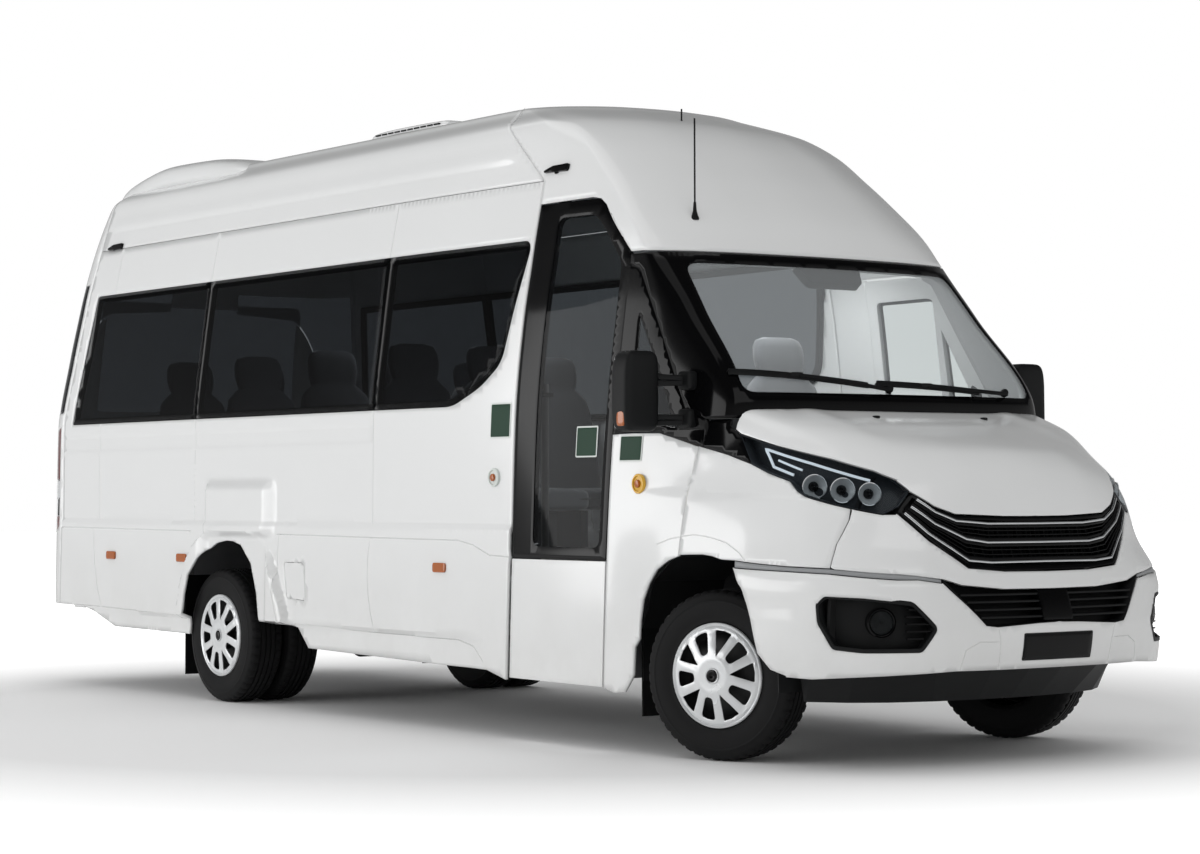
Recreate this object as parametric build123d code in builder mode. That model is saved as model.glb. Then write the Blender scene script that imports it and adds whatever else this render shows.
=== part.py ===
from build123d import *
import os

# A long-wheelbase minibus. X points forward, Y to the left, Z up, and the ground is Z = 0.
# Every table below gives x from the front axle, forward positive, and y from the middle plane.

os.makedirs("parts", exist_ok=True)

# ---- driving dimensions, mm ----
front_axle_x = 2617.5
wheelbase = 4100.0
rear_axle = -wheelbase
rear_end = -6270.0
panel_gap = 5.0
seat_gap = 0.3
wall = 40.0
weld = -0.15
glass_out = 5.0
glass_in = 12.0
window_rim = 28.0
clear_y = 1000.5
flare_y = 1045.0
flare_width = 85.0
tyre_clearance = 36.0
skirt_gap_x = (-4700.0, -3300.0)
belt_z = 1450.0
windscreen_top_z = 2118.0
shoulder_z = 2500.0
inside_far = 1200.0

tyre_radius = 349.0
tyre_width = 195.0
bead_radius = 205.0
front_wheel_y = 826.5
rear_outer_y = 889.5
rear_inner_y = 672.0
kingpin_y = 760.0
rest_steer = 19.0

rail_y = 390.0
rail_width = 70.0
rail_bottom = 500.0
rail_top = 655.0
floor_top = 695.0
axle_z = tyre_radius

# ---- body surface: outlines of the right half at rising levels ----
# columns: z, rear x, y of the rear half, y at the entry door, then x, y of four points round the nose:
# outer crease, inner crease, mid front, and the x of the middle front
body_levels = [
    (240, -6200, 1013, 1013, (-350, 1008), (0, 975), (60, 500), 70),
    (500, -6262, 1010, 1006, (-350, 1000), (0, 990), (60, 500), 70),
    (930, -6275, 999, 992, (-350, 980), (0, 966), (60, 500), 70),
    (belt_z, -6268, 993, 972, (-330, 926), (42, 868), (128, 450), 150),
    (1880, -6212, 945, 925, (-430, 872), (-285, 828), (-186, 420), -167),
    (windscreen_top_z, -6168, 912, 883, (-555, 852), (-482, 802), (-376, 400), -352),
    (2235, -6142, 896, 862, (-640, 846), (-555, 748), (-440, 375), -414),
    (2440, -6100, 856, 822, (-860, 804), (-756, 690), (-640, 345), -614),
    (2556, -6066, 832, 800, (-1000, 780), (-896, 665), (-780, 332), -754),
    (2680, -6020, 803, 782, (-1150, 750), (-1056, 628), (-948, 312), -922),
    (2770, -5970, 780, 765, (-1320, 712), (-1216, 600), (-1112, 300), -1086),
    (2860, -5880, 650, 645, (-1600, 612), (-1500, 512), (-1384, 256), -1356),
    (2895, -5800, 600, 596, (-1740, 560), (-1630, 468), (-1510, 234), -1480),
    (2925, -5400, 120, 118, (-2100, 110), (-2060, 90), (-2020, 50), -2000),
]
rear_corner = 300.0
rear_round = 120.0
mid_station = -2500.0
door_station = -1360.0

# ---- nose surface: half outlines from the side to the middle, each point x, y ----
nose_levels = [
    (262, (-700, 1002), (300, 985), (560, 930), (700, 830), (790, 700), (850, 520), (880, 300), (890, 0)),
    (400, (-700, 1012), (330, 1012), (600, 945), (760, 850), (870, 740), (950, 590), (1000, 330), (1012, 0)),
    (560, (-700, 1016), (330, 1020), (620, 940), (775, 845), (890, 735), (970, 590), (1030, 330), (1040, 0)),
    (750, (-700, 1012), (300, 1016), (600, 935), (750, 850), (860, 740), (935, 590), (975, 330), (985, 0)),
    (900, (-700, 1000), (250, 988), (530, 915), (680, 820), (790, 700), (870, 540), (920, 300), (930, 0)),
    (1050, (-700, 975), (200, 952), (480, 885), (630, 795), (750, 680), (840, 500), (885, 300), (900, 0)),
    (1150, (-700, 960), (120, 922), (400, 865), (560, 785), (690, 670), (800, 480), (852, 280), (870, 0)),
    (1250, (-700, 945), (40, 898), (300, 850), (450, 775), (585, 640), (690, 460), (755, 260), (780, 0)),
    (1350, (-700, 935), (-20, 886), (200, 846), (330, 775), (420, 640), (450, 460), (470, 260), (480, 0)),
    (1440, (-700, 915), (-70, 880), (30, 850), (90, 790), (130, 640), (150, 460), (165, 260), (170, 0)),
]

# ---- side-view outlines, each point x, z ----
window_strip = [
    (-5885, 1490), (-1840, 1490), (-1640, 1560), (-1493, 1680), (-1372, 2150), (-1400, 2215), (-1450, 2232),
    (-5745, 2232),
]
pane_lines = [-4370.0, -2540.0]
corner_glass = [(-6225, 1563), (-6000, 1563), (-5870, 2305), (-6140, 2305)]
entry_outline = [
    (-1350, 292), (-655, 272), (-640, 2090), (-800, 2270), (-880, 2350), (-960, 2385), (-1350, 2385),
]
entry_glass = [
    (-1215, 858), (-700, 858), (-692, 2080), (-842, 2250), (-930, 2318), (-1215, 2318),
]
driver_outline = [
    (-1080, 430), (-480, 430), (-440, 640), (-350, 800), (-250, 880), (-135, 905), (-90, 1290), (-75, 1380),
    (-193, 1420), (-590, 2040), (-660, 2100), (-1080, 2100),
]
driver_glass = [(-1010, 1400), (-350, 1400), (-640, 1990), (-1010, 1990)]
quarter_glass = [(-515, 1400), (-250, 1360), (-330, 1500), (-520, 1800), (-545, 1850)]
skirt_line = [(-5640, 456), (-5290, 349), (-4560, 349), (-3560, 330), (-2940, 318), (-1960, 308), (-1390, 262)]
rear_arch = [(-4480, 457), (-4440, 660), (-4300, 800), (-4120, 851), (-3900, 835), (-3680, 720), (-3560, 560), (-3530, 330)]
front_arch = [(-420, 240), (-400, 540), (-330, 720), (-180, 830), (-20, 850), (170, 815), (310, 690), (385, 500), (400, 240)]
bonnet_edge = [(50, 1364), (95, 1345), (330, 1290), (600, 1225), (860, 1150)]
lamp_outline = [(85, 1330), (150, 1215), (390, 1140), (600, 1075), (820, 1015), (845, 1145), (600, 1215), (330, 1280)]


def front_both(points):
    """Mirror a half front view to the other side and close it."""
    return points + [(-y, z) for y, z in reversed(points)]


rear_foot = (-5987, 456)
rear_waist = (-5987, 1500)
rear_shoulder = (-5800, 2500)
rear_top = (-5741, 2962)
cap_foot = (-1360, 2500)
cap_top = (-1911, 2962)
fender_foot = (-127, 905)
fender_waist = (-82, 1291)
fender_top = (-65, 1392)
pillar_foot = (-187, 1433)
pillar_top = (-573, 2051)
pillar_cap = (-638, 2081)
screen_corner = (-638, 2120)
wall_right_outline = [rear_foot] + skirt_line + [(-1360, 262), cap_foot, rear_shoulder, rear_waist]
wall_left_outline = [rear_foot] + skirt_line + [
    (-485, 262), (-480, 425), (-1085, 425), (-1085, 2104), (-1360, 2104), cap_foot, rear_shoulder, rear_waist,
]
roof_outline = [rear_shoulder, cap_foot, cap_top, rear_top]
rear_outline = [(-6400, 456), rear_foot, rear_waist, rear_shoulder, rear_top, (-6400, 2962)]
cap_right_outline = [
    cap_foot, (-1360, 2390), (-958, 2390), (-876, 2355), (-795, 2274), screen_corner, (0, 2120), (0, 2962), cap_top,
]
cap_left_outline = [cap_foot, (-1360, 2104), (-660, 2104), screen_corner, (0, 2120), (0, 2962), cap_top]
screen_frame_outline = [
    pillar_foot, fender_top, (300, 1392), (300, 2120), screen_corner, pillar_cap, pillar_top,
]
cab_side_outline = [
    (-640, 262), (-485, 262), (-440, 560), (-350, 760), (-240, 860), fender_foot, fender_waist, fender_top,
    pillar_foot, pillar_top, pillar_cap, (-640, 2078),
]
screen_outline = [(-858, 1470), (858, 1470), (798, 2110), (-798, 2110)]
boot_outline = [(-690, 620), (690, 620), (690, 1430), (-690, 1430)]
rear_window_outline = [(-690, 1560), (690, 1560), (670, 2240), (-670, 2240)]
side_lamp_outline = [(-6110, 880), (-6045, 880), (-6040, 1480), (-6105, 1480)]
flap_outline = [(-3330, 555), (-3098, 555), (-3098, 750), (-3330, 750)]
bonnet_outline = bonnet_edge + [(862, 985), (1000, 985), (1000, 1600), (50, 1600)]
fender_outline = [
    (-127, 760), fender_foot, fender_waist, fender_top, (42, 1392), (44, 1355), (76, 1336), (140, 1209), (388, 1134),
    (598, 1066), (766, 1018), (684, 908), (642, 806), (636, 760),
]
bumper_outline = [
    (372, 440), (576, 374), (700, 367), (890, 398), (1100, 398), (1100, 980), (858, 980), (856, 1006),
    (822, 1010), (774, 1018),
    (690, 906), (648, 804), (642, 755), (240, 755),
]
grille_outline = front_both([(0, 990), (-471, 1016), (-600, 1090), (-650, 1045), (-540, 900), (-401, 790)])
intake_outline = front_both([(-486, 742), (-420, 640), (-307, 585)])
fog_outline = [(690, 690), (940, 675), (1030, 600), (960, 490), (720, 500), (700, 560)]

# ---- ranges ----
boot_axis = (front_axle_x - 6262, 1422)
boot_pin = 4.0
bonnet_axis = (front_axle_x + 98, 1404)
bonnet_pin = 6.0
door_axis = (front_axle_x - 121, 996)
door_pin = 5.0
door_hinges = [925.0, 1080.0]
hinge_eye = 9.0
hinge_foot = 18.0
hinge_rise = 32.0
hinge_arm_y = (987.0, 1005.0)
lug_ranges = [(-712, -692), (692, 712)]
pin_ranges = [(-745, -690), (690, 745)]
rear_lamp_y = 820.0
rear_lamp_width = 90.0
right_side = (-inside_far, -500.0)
left_side = (500.0, inside_far)
all_y = (-inside_far, inside_far)
rear_x_range = (-6400.0, -6000.0)
screen_x_range = (-700.0, 400.0)
nose_x_range = (500.0, 1200.0)
pane_ranges = [(-5900.0, pane_lines[0]), (pane_lines[0], pane_lines[1]), (pane_lines[1], -1350.0)]
nose_thickness = 30.0
cowl_width = 35.0
cowl_bottom = 1388.0
cowl_y_range = (-760.0, 760.0)
tray_inset = 130.0

# ---- chassis, axles and wheels ----
carrier_x = (645.0, 655.0)
rail_rear = -5960.0
rail_front = 690.0
gearbox_rear = -240.0
shaft_start = 143.6
cross_members = [-5600.0, -4700.0, -3300.0, -2300.0, -1200.0, -300.0]
tow_plate_thickness = 12.0
tow_z = 400.0
tow_plate_bottom = 355.0
tow_spacing_y = 83.0
tow_spacing_z = 56.0
tow_hole_radius = 8.5
spring_half = 650.0
spring_eye_z = 470.0
spring_seat_z = 409.0
spring_thickness = 40.0
leaf_outline = [
    (rear_axle - spring_half - 30, spring_eye_z - spring_thickness), (rear_axle - 65, spring_seat_z),
    (rear_axle + 65, spring_seat_z), (rear_axle + spring_half + 30, spring_eye_z - spring_thickness),
    (rear_axle + spring_half + 30, spring_eye_z), (rear_axle + 65, spring_seat_z + spring_thickness),
    (rear_axle - 65, spring_seat_z + spring_thickness), (rear_axle - spring_half - 30, spring_eye_z),
]
steer_x = -50.0
eye_radius = 34.0
kingpin_radius = 16.0
pin_clearance = 0.05
spindle_radius = 22.0
front_spindle = 62.0
hub_reach = 940.0
# columns: offset along the axle from the wheel's middle, radius
tyre_profile = [
    (-72, bead_radius), (-88, 222), (-97.5, 262), (-96, 305), (-86, 335), (-66, tyre_radius),
    (66, tyre_radius), (86, 335), (96, 305), (97.5, 262), (88, 222), (72, bead_radius),
]
rim_radius = bead_radius - seat_gap
hub_bore = spindle_radius + pin_clearance
front_rim_profile = [
    (-85, rim_radius - 14), (-85, rim_radius), (88, rim_radius), (88, rim_radius + 12), (92, rim_radius + 16),
    (100, rim_radius - 2), (128, 60), (130, 0), (124, 0), (118, 40), (62, 60), (62, hub_bore), (2, hub_bore),
    (2, 68), (36, 74), (44, rim_radius - 14),
]
rear_rim_profile = [
    (-95, hub_bore), (-95, 160), (-84, rim_radius - 14), (-84, rim_radius), (88, rim_radius),
    (88, rim_radius + 12), (92, rim_radius + 16), (97, rim_radius - 2), (104, 60), (104, 0), (98, 0), (96, 60),
    (86, rim_radius - 14), (-76, rim_radius - 20), (-83, 156), (-83, 60), (-60, 56), (-60, hub_bore),
]
inner_rim_profile = [
    (122.2, hub_bore), (122.2, 160), (86, rim_radius - 8), (86, rim_radius), (-85, rim_radius),
    (-85, rim_radius - 14), (76, rim_radius - 14), (110, 156), (110, 60), (60, 56), (60, hub_bore),
]

# ---- floor ----
sheet = 25.0
floor_rear = -5930.0
cab_floor_rear = -500.0
cab_floor_top = 895.0
firewall_x = -105.0
floor_y = (-925.0, 925.0)
cab_floor_y = (-870.0, 870.0)
step_x = (-1330.0, -670.0)
step_riser_y = -520.0
wheel_box_x = (-4530.0, -3490.0)
wheel_box_y = 545.0
wheel_box_top = 900.0
step_boards = [((-905, -700), (305, 330)), ((-725, -520), (500, 530))]
step_risers = [((-725, -700), (305, 530)), ((-545, -520), (500, 695))]
step_ends = [((-1340, -1330), (-825, -520)), ((-670, -660), (-905, -520))]
liner_thickness = 6.0
liner_bottom = 300.0
liner_sides = [(-905, -520), (520, 905)]
liner_outline = [
    (-500, 240), (-500, 520), (-430, 720), (-280, 825), (-50, 856), (160, 826), (300, 710), (376, 520), (386, 240),
]

# ---- entry door gear ----
post_x = -1290.0
post_y = -860.0
post_radius = 18.0
post_length = 1240.0
arm_levels = [600.0, 790.0]
arm_reach = 438.0
arm_half = 14.0
arm_thickness = 20.0
bow_x = 100.0
bow_y = 173.0
pivot_radius = 8.0
post_bracket_levels = [380.0, 1520.0]
bracket_outline = [(-1420, -985), (-1362, -985), (-1362, -888), (-1262, -888), (-1262, -832), (-1420, -832)]

# ---- cabin ----
seat_rows = [-2050.0, -2830.0, -3610.0, -4390.0]
seat_places = [(-920.0, -475.0), (-465.0, -20.0), (470.0, 915.0)]
seat_legs = [(-530.0, -220.0), (485.0, 530.0)]
seat_depth = 430.0
cushion_bottom = 1000.0
cushion_top = 1120.0
back_outline = [(0, 1060), (-90, 1060), (-200, 1640), (-215, 1830), (-150, 1830), (-110, 1640)]
dash_outline = [(-430, 1120), (-400, 1340), (-330, 1400), (firewall_x, 1430), (firewall_x, 960), (-250, 960), (-300, 1090)]
wheel_hub = (front_axle_x - 560, 450, 1330)
wheel_tilt = (-0.62, 0, 0.78)
wheel_radius = 195.0
wheel_grip = 15.0
column_length = 270.0
dash_y = (-800.0, 800.0)

# ---- outside fittings ----
mirror_x = (-330.0, -215.0)
mirror_y = (1035.0, 1205.0)
mirror_z = (1343.0, 1679.0)
mirror_arm_levels = [1380.0, 1560.0]
mirror_arm_height = 26.0
mirror_arms = {
    "right": [(-300, 1036), (-240, 1036), (20, 930), (20, 800), (-60, 800), (-60, 930)],
    "left": [(-300, 1036), (-240, 1036), (-315, 940), (-315, 800), (-400, 800), (-400, 940)],
}
rear_flap_x = (-4560.0, -4552.0)
front_flap_x = (-514.3, -506.3)
cooler_half = 700.0
cooler_outline = [
    (-5960, 2700), (-5960, 2800), (-5900, 2890), (-5700, 2945), (-5300, 2985), (-4900, 2975), (-4600, 2940),
    (-4360, 2890), (-4340, 2700),
]
vent_half = 420.0
wiper_z = 1512.0
wiper_rise = 12.0
wiper_arcs = [((138, -200), (120, -450), (89, -700)), ((111, 520), (131, 270), (140, 20))]
vent_outline = [(-3440, 2700), (-3440, 2900), (-3400, 2960), (-2770, 2960), (-2730, 2900), (-2730, 2700)]


def centred(middle, width):
    """Range of the given width about its middle."""
    return (middle - width / 2, middle + width / 2)


def ordered(first, second):
    """Range with its lower end first."""
    return (min(first, second), max(first, second))


def grown(span, margin):
    """Range made wider by the margin at both ends."""
    return (span[0] - margin, span[1] + margin)


steer_forward = Vector(1, 0, 0).rotate(Axis.Z, rest_steer)


def outward(sign):
    """Direction of a steered wheel's axle, away from the middle of the vehicle."""
    return Vector(0, sign, 0).rotate(Axis.Z, rest_steer)


def cross_up(direction):
    """Normal of the upright plane that holds the given level direction."""
    return Vector(direction).cross(Vector(0, 0, 1))


def rear_lamp(y):
    """Front view of one lamp on the rear face."""
    half = rear_lamp_width / 2
    return [(y - half, 950), (y + half, 950), (y + half, 1545), (y - half, 1545)]


def side_prism(points, y_range, grow=0.0):
    """Solid with the given side view, grown by a margin, over a range of y."""
    with BuildPart() as prism:
        with BuildSketch(Plane.XZ.offset(-y_range[1])):
            Polygon(*[(front_axle_x + x, z) for x, z in points], align=None)
            if grow:
                offset(amount=grow, kind=Kind.INTERSECTION, mode=Mode.REPLACE)
        extrude(amount=y_range[1] - y_range[0])
    return prism.part


def front_prism(points, x_range, grow=0.0):
    """Solid with the given front view, grown by a margin, over a range of x."""
    with BuildPart() as prism:
        with BuildSketch(Plane.YZ.offset(front_axle_x + x_range[0])):
            Polygon(*points, align=None)
            if grow:
                offset(amount=grow, kind=Kind.INTERSECTION, mode=Mode.REPLACE)
        extrude(amount=x_range[1] - x_range[0])
    return prism.part


def block(x_range, y_range, z_range):
    """Plain box from its three ranges."""
    with BuildPart() as box:
        with BuildSketch(Plane.XY.offset(z_range[0])):
            with Locations((front_axle_x + sum(x_range) / 2, sum(y_range) / 2)):
                Rectangle(x_range[1] - x_range[0], y_range[1] - y_range[0])
        extrude(amount=z_range[1] - z_range[0])
    return box.part


def body_outline(level, inset):
    """Closed outline of the body at one level, moved in by the inset."""
    z, rear_x, rear_y, door_y, outer, inner, mid, middle_x = level
    door_x = min(door_station, outer[0] - 100.0)
    half = [
        (rear_x + inset, rear_y - rear_corner),
        (rear_x + 0.3 * rear_round + inset, rear_y - rear_round),
        (rear_x + rear_corner, rear_y - inset),
        (mid_station, rear_y - inset),
        (door_x, door_y - inset),
        (outer[0] - 0.5 * inset, outer[1] - inset),
        (inner[0] - inset, inner[1] - inset),
        (mid[0] - inset, mid[1]),
    ]
    half = [(x, max(y, 30.0)) for x, y in half]
    right = [(front_axle_x + x, -y) for x, y in half]
    left = [(front_axle_x + x, y) for x, y in reversed(half)]
    return right + [(front_axle_x + middle_x - inset, 0.0)] + left


def body_solid(inset, levels):
    """Body surface between the given levels as one solid, moved in by the inset."""
    with BuildPart() as body:
        for level in levels:
            drop = inset * min(1.0, max(0.0, (level[0] - windscreen_top_z) / 400.0))
            with BuildSketch(Plane.XY.offset(level[0] - drop)):
                Polygon(*body_outline(level, inset), align=None)
        loft(ruled=True)
    return body.part


def nose_solid(inset):
    """Bonnet, fenders and bumper surface as one solid, moved in by the inset."""
    with BuildPart() as nose:
        for level in nose_levels:
            drop = inset * min(1.0, max(0.0, (level[0] - 1100.0) / 150.0))
            half = [(front_axle_x + x - inset * (x > 0), y - inset * (y > 0)) for x, y in level[1:]]
            half = [(x, max(y, 0.0)) for x, y in half]
            right = [(x, -y) for x, y in half]
            left = list(reversed(half[:-1]))
            with BuildSketch(Plane.XY.offset(level[0] - drop)):
                Polygon(*(right + left), align=None)
        loft(ruled=True)
    return nose.part


lower_levels = body_levels[:9]
outer_body = body_solid(0.0, lower_levels)
inner_body = body_solid(wall, lower_levels)
body_wall = outer_body - inner_body
glass_body = body_solid(glass_out, lower_levels)
glass_skin = glass_body - body_solid(glass_in, lower_levels)
recess = outer_body - body_solid(glass_in + seat_gap, lower_levels)
cowl_body = body_solid(-cowl_width, lower_levels)
bonnet_clear = body_solid(-cowl_width - panel_gap, lower_levels)
roof_solid = body_solid(0.0, body_levels)
roof_wall = roof_solid - body_solid(wall, body_levels)
nose_outer = nose_solid(0.0)
nose_wall = nose_outer - nose_solid(nose_thickness)
tray_wall = nose_solid(tray_inset) - nose_solid(tray_inset + nose_thickness)

# ---- body panels ----
sides = {"right": right_side, "left": left_side}
flare_ranges = {"right": (-flare_y, -clear_y), "left": (clear_y, flare_y)}
clear_ranges = {"right": (-clear_y, -500.0), "left": (500.0, clear_y)}
wall_outlines = {"right": wall_right_outline, "left": wall_left_outline}
for side, y_range in sides.items():
    strip_back = side_prism(window_strip, y_range) & recess
    inner_strip = side_prism(window_strip, y_range, -window_rim)
    with BuildPart() as side_wall:
        add(body_wall)
        add(side_prism(wall_outlines[side], y_range, weld), mode=Mode.INTERSECT)
        add(side_prism(rear_arch, flare_ranges[side], flare_width))
        add(block(skirt_gap_x, y_range, (0, 335)), mode=Mode.SUBTRACT)
        add(side_prism(rear_arch, y_range), mode=Mode.SUBTRACT)
        with BuildSketch(Plane.XZ.offset(-clear_ranges[side][1])):
            with Locations((front_axle_x + rear_axle, axle_z)):
                Circle(tyre_radius + tyre_clearance)
        extrude(amount=clear_ranges[side][1] - clear_ranges[side][0], mode=Mode.SUBTRACT)
        add(strip_back, mode=Mode.SUBTRACT)
        for x_from, x_to in pane_ranges:
            opening = inner_strip & block((x_from + window_rim, x_to - window_rim), y_range, (1400, 2300))
            add(opening, mode=Mode.SUBTRACT)
        if side == "right":
            add(side_prism(flap_outline, y_range) & recess, mode=Mode.SUBTRACT)
    side_wall.part.label = "body_side_" + side
    export_step(side_wall.part, "parts/body_side_" + side + ".step")

with BuildPart() as side_windows:
    for y_range in sides.values():
        for x_from, x_to in pane_ranges:
            pane = side_prism(window_strip, y_range, -1.0)
            add(pane & block((x_from + 2, x_to - 2), y_range, (1400, 2300)))
    add(side_prism(quarter_glass, right_side))
    add(glass_skin, mode=Mode.INTERSECT)
side_windows.part.label = "side_windows"
export_step(side_windows.part, "parts/side_windows.step")

with BuildPart() as roof_panel:
    add(roof_wall)
    add(side_prism(roof_outline, all_y, weld), mode=Mode.INTERSECT)
roof_panel.part.label = "roof_panel"
export_step(roof_panel.part, "parts/roof_panel.step")

with BuildPart() as roof_cap:
    add(side_prism(cap_right_outline, (-inside_far, 0), weld))
    add(side_prism(cap_left_outline, (0, inside_far), weld))
    add(roof_wall, mode=Mode.INTERSECT)
roof_cap.part.label = "roof_cap"
export_step(roof_cap.part, "parts/roof_cap.step")

with BuildPart() as rear_wall:
    add(roof_wall)
    add(side_prism(rear_outline, all_y, weld), mode=Mode.INTERSECT)
    add(front_prism(boot_outline, rear_x_range, panel_gap), mode=Mode.SUBTRACT)
    add(front_prism(rear_window_outline, rear_x_range, -window_rim), mode=Mode.SUBTRACT)
    add(front_prism(rear_window_outline, rear_x_range, 1.0) & recess, mode=Mode.SUBTRACT)
    for y_range in sides.values():
        add(side_prism(corner_glass, y_range, 1.0) & recess, mode=Mode.SUBTRACT)
        add(side_prism(side_lamp_outline, y_range, 1.0) & recess, mode=Mode.SUBTRACT)
    for lamp_y in (-rear_lamp_y, rear_lamp_y):
        add(front_prism(rear_lamp(lamp_y), rear_x_range, 1.0) & recess, mode=Mode.SUBTRACT)
    for y_range in ((-700, -648), (648, 700)):
        with BuildSketch(Plane.XZ.offset(-y_range[1])):
            with Locations(boot_axis):
                Circle(boot_pin)
        extrude(amount=y_range[1] - y_range[0])
rear_wall.part.label = "rear_wall"
export_step(rear_wall.part, "parts/rear_wall.step")

with BuildPart() as boot_lid:
    add(body_wall)
    add(front_prism(boot_outline, rear_x_range), mode=Mode.INTERSECT)
    for y_range in ((-695, -646), (646, 695)):
        with BuildSketch(Plane.XZ.offset(-y_range[1])):
            with Locations(boot_axis):
                Circle(boot_pin + pin_clearance)
        extrude(amount=y_range[1] - y_range[0], mode=Mode.SUBTRACT)
boot_lid.part.label = "boot_lid"
export_step(boot_lid.part, "parts/boot_lid.step")

with BuildPart() as rear_glass:
    add(front_prism(rear_window_outline, rear_x_range))
    for y_range in sides.values():
        add(side_prism(corner_glass, y_range))
    add(glass_skin, mode=Mode.INTERSECT)
rear_glass.part.label = "rear_glass"
export_step(rear_glass.part, "parts/rear_glass.step")

with BuildPart() as tail_lamps:
    for y_range in sides.values():
        add(side_prism(side_lamp_outline, y_range))
    for lamp_y in (-rear_lamp_y, rear_lamp_y):
        add(front_prism(rear_lamp(lamp_y), rear_x_range))
    add(glass_skin, mode=Mode.INTERSECT)
tail_lamps.part.label = "tail_lamps"
export_step(tail_lamps.part, "parts/tail_lamps.step")

with BuildPart() as windscreen_frame:
    add(body_wall)
    add(side_prism(screen_frame_outline, all_y, weld), mode=Mode.INTERSECT)
    add(front_prism(screen_outline, screen_x_range, -window_rim - 12), mode=Mode.SUBTRACT)
    add(front_prism(screen_outline, screen_x_range, 1.0) & recess, mode=Mode.SUBTRACT)
windscreen_frame.part.label = "windscreen_frame"
export_step(windscreen_frame.part, "parts/windscreen_frame.step")

with BuildPart() as windscreen:
    add(glass_skin)
    add(front_prism(screen_outline, screen_x_range), mode=Mode.INTERSECT)
windscreen.part.label = "windscreen"
export_step(windscreen.part, "parts/windscreen.step")

with BuildPart() as cab_side:
    add(body_wall)
    add(side_prism(cab_side_outline, right_side, weld), mode=Mode.INTERSECT)
    add(side_prism(front_arch, right_side), mode=Mode.SUBTRACT)
    add(side_prism(quarter_glass, right_side, -12.0), mode=Mode.SUBTRACT)
    add(side_prism(quarter_glass, right_side, 1.0) & recess, mode=Mode.SUBTRACT)
cab_side.part.label = "cab_side"
export_step(cab_side.part, "parts/cab_side.step")

# ---- doors ----
with BuildPart() as driver_door:
    add(body_wall)
    add(side_prism(driver_outline, left_side), mode=Mode.INTERSECT)
    add(side_prism(driver_glass, left_side, -window_rim), mode=Mode.SUBTRACT)
    add(side_prism(driver_glass, left_side, 1.0) & recess, mode=Mode.SUBTRACT)
    for z in door_hinges:
        arm_z = (z + hinge_foot + seat_gap, z + hinge_foot + hinge_rise)
        add(block((-190, -121), hinge_arm_y, arm_z))
        add(block((-190, -132), (925, hinge_arm_y[1]), arm_z))
        with BuildSketch(Plane.XY.offset(arm_z[0])):
            with Locations(door_axis):
                Circle(hinge_eye)
        extrude(amount=arm_z[1] - arm_z[0])
        with BuildSketch(Plane.XY.offset(z + hinge_foot)):
            with Locations(door_axis):
                Circle(door_pin + pin_clearance)
        extrude(amount=hinge_rise, mode=Mode.SUBTRACT)
driver_door.part.label = "driver_door"
export_step(driver_door.part, "parts/driver_door.step")

with BuildPart() as driver_door_glass:
    add(glass_skin)
    add(side_prism(driver_glass, left_side), mode=Mode.INTERSECT)
driver_door_glass.part.label = "driver_door_glass"
export_step(driver_door_glass.part, "parts/driver_door_glass.step")

with BuildPart() as entry_door:
    add(body_wall)
    add(side_prism(entry_outline, right_side), mode=Mode.INTERSECT)
    add(side_prism(entry_glass, right_side, -window_rim), mode=Mode.SUBTRACT)
    add(side_prism(entry_glass, right_side, 1.0) & recess, mode=Mode.SUBTRACT)
entry_door.part.label = "entry_door"
export_step(entry_door.part, "parts/entry_door.step")

with BuildPart() as entry_door_glass:
    add(glass_skin)
    add(side_prism(entry_glass, right_side), mode=Mode.INTERSECT)
entry_door_glass.part.label = "entry_door_glass"
export_step(entry_door_glass.part, "parts/entry_door_glass.step")

# ---- nose ----
with BuildPart() as bonnet:
    add(nose_wall)
    add(side_prism(bonnet_outline, all_y), mode=Mode.INTERSECT)
    add(front_prism(grille_outline, nose_x_range, panel_gap), mode=Mode.SUBTRACT)
    add(bonnet_clear, mode=Mode.SUBTRACT)
    for y_range in lug_ranges:
        add(block((86, 160), y_range, (1393, 1413)))
        with BuildSketch(Plane.XZ.offset(-y_range[1])):
            with Locations(bonnet_axis):
                Circle(bonnet_pin + pin_clearance)
        extrude(amount=y_range[1] - y_range[0], mode=Mode.SUBTRACT)
bonnet.part.label = "bonnet"
export_step(bonnet.part, "parts/bonnet.step")

with BuildPart() as cowl:
    add(nose_outer)
    add(block((48, 400), cowl_y_range, (cowl_bottom, bonnet_axis[1])), mode=Mode.INTERSECT)
    add(cowl_body, mode=Mode.INTERSECT)
    add(outer_body, mode=Mode.SUBTRACT)
    for y_range in lug_ranges:
        add(block((40, 400), grown(y_range, 6), (cowl_bottom, bonnet_axis[1])), mode=Mode.SUBTRACT)
    for y_range in pin_ranges:
        with BuildSketch(Plane.XZ.offset(-y_range[1])):
            with Locations(bonnet_axis):
                Circle(bonnet_pin)
        extrude(amount=y_range[1] - y_range[0])
cowl.part.label = "cowl"
export_step(cowl.part, "parts/cowl.step")

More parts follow.
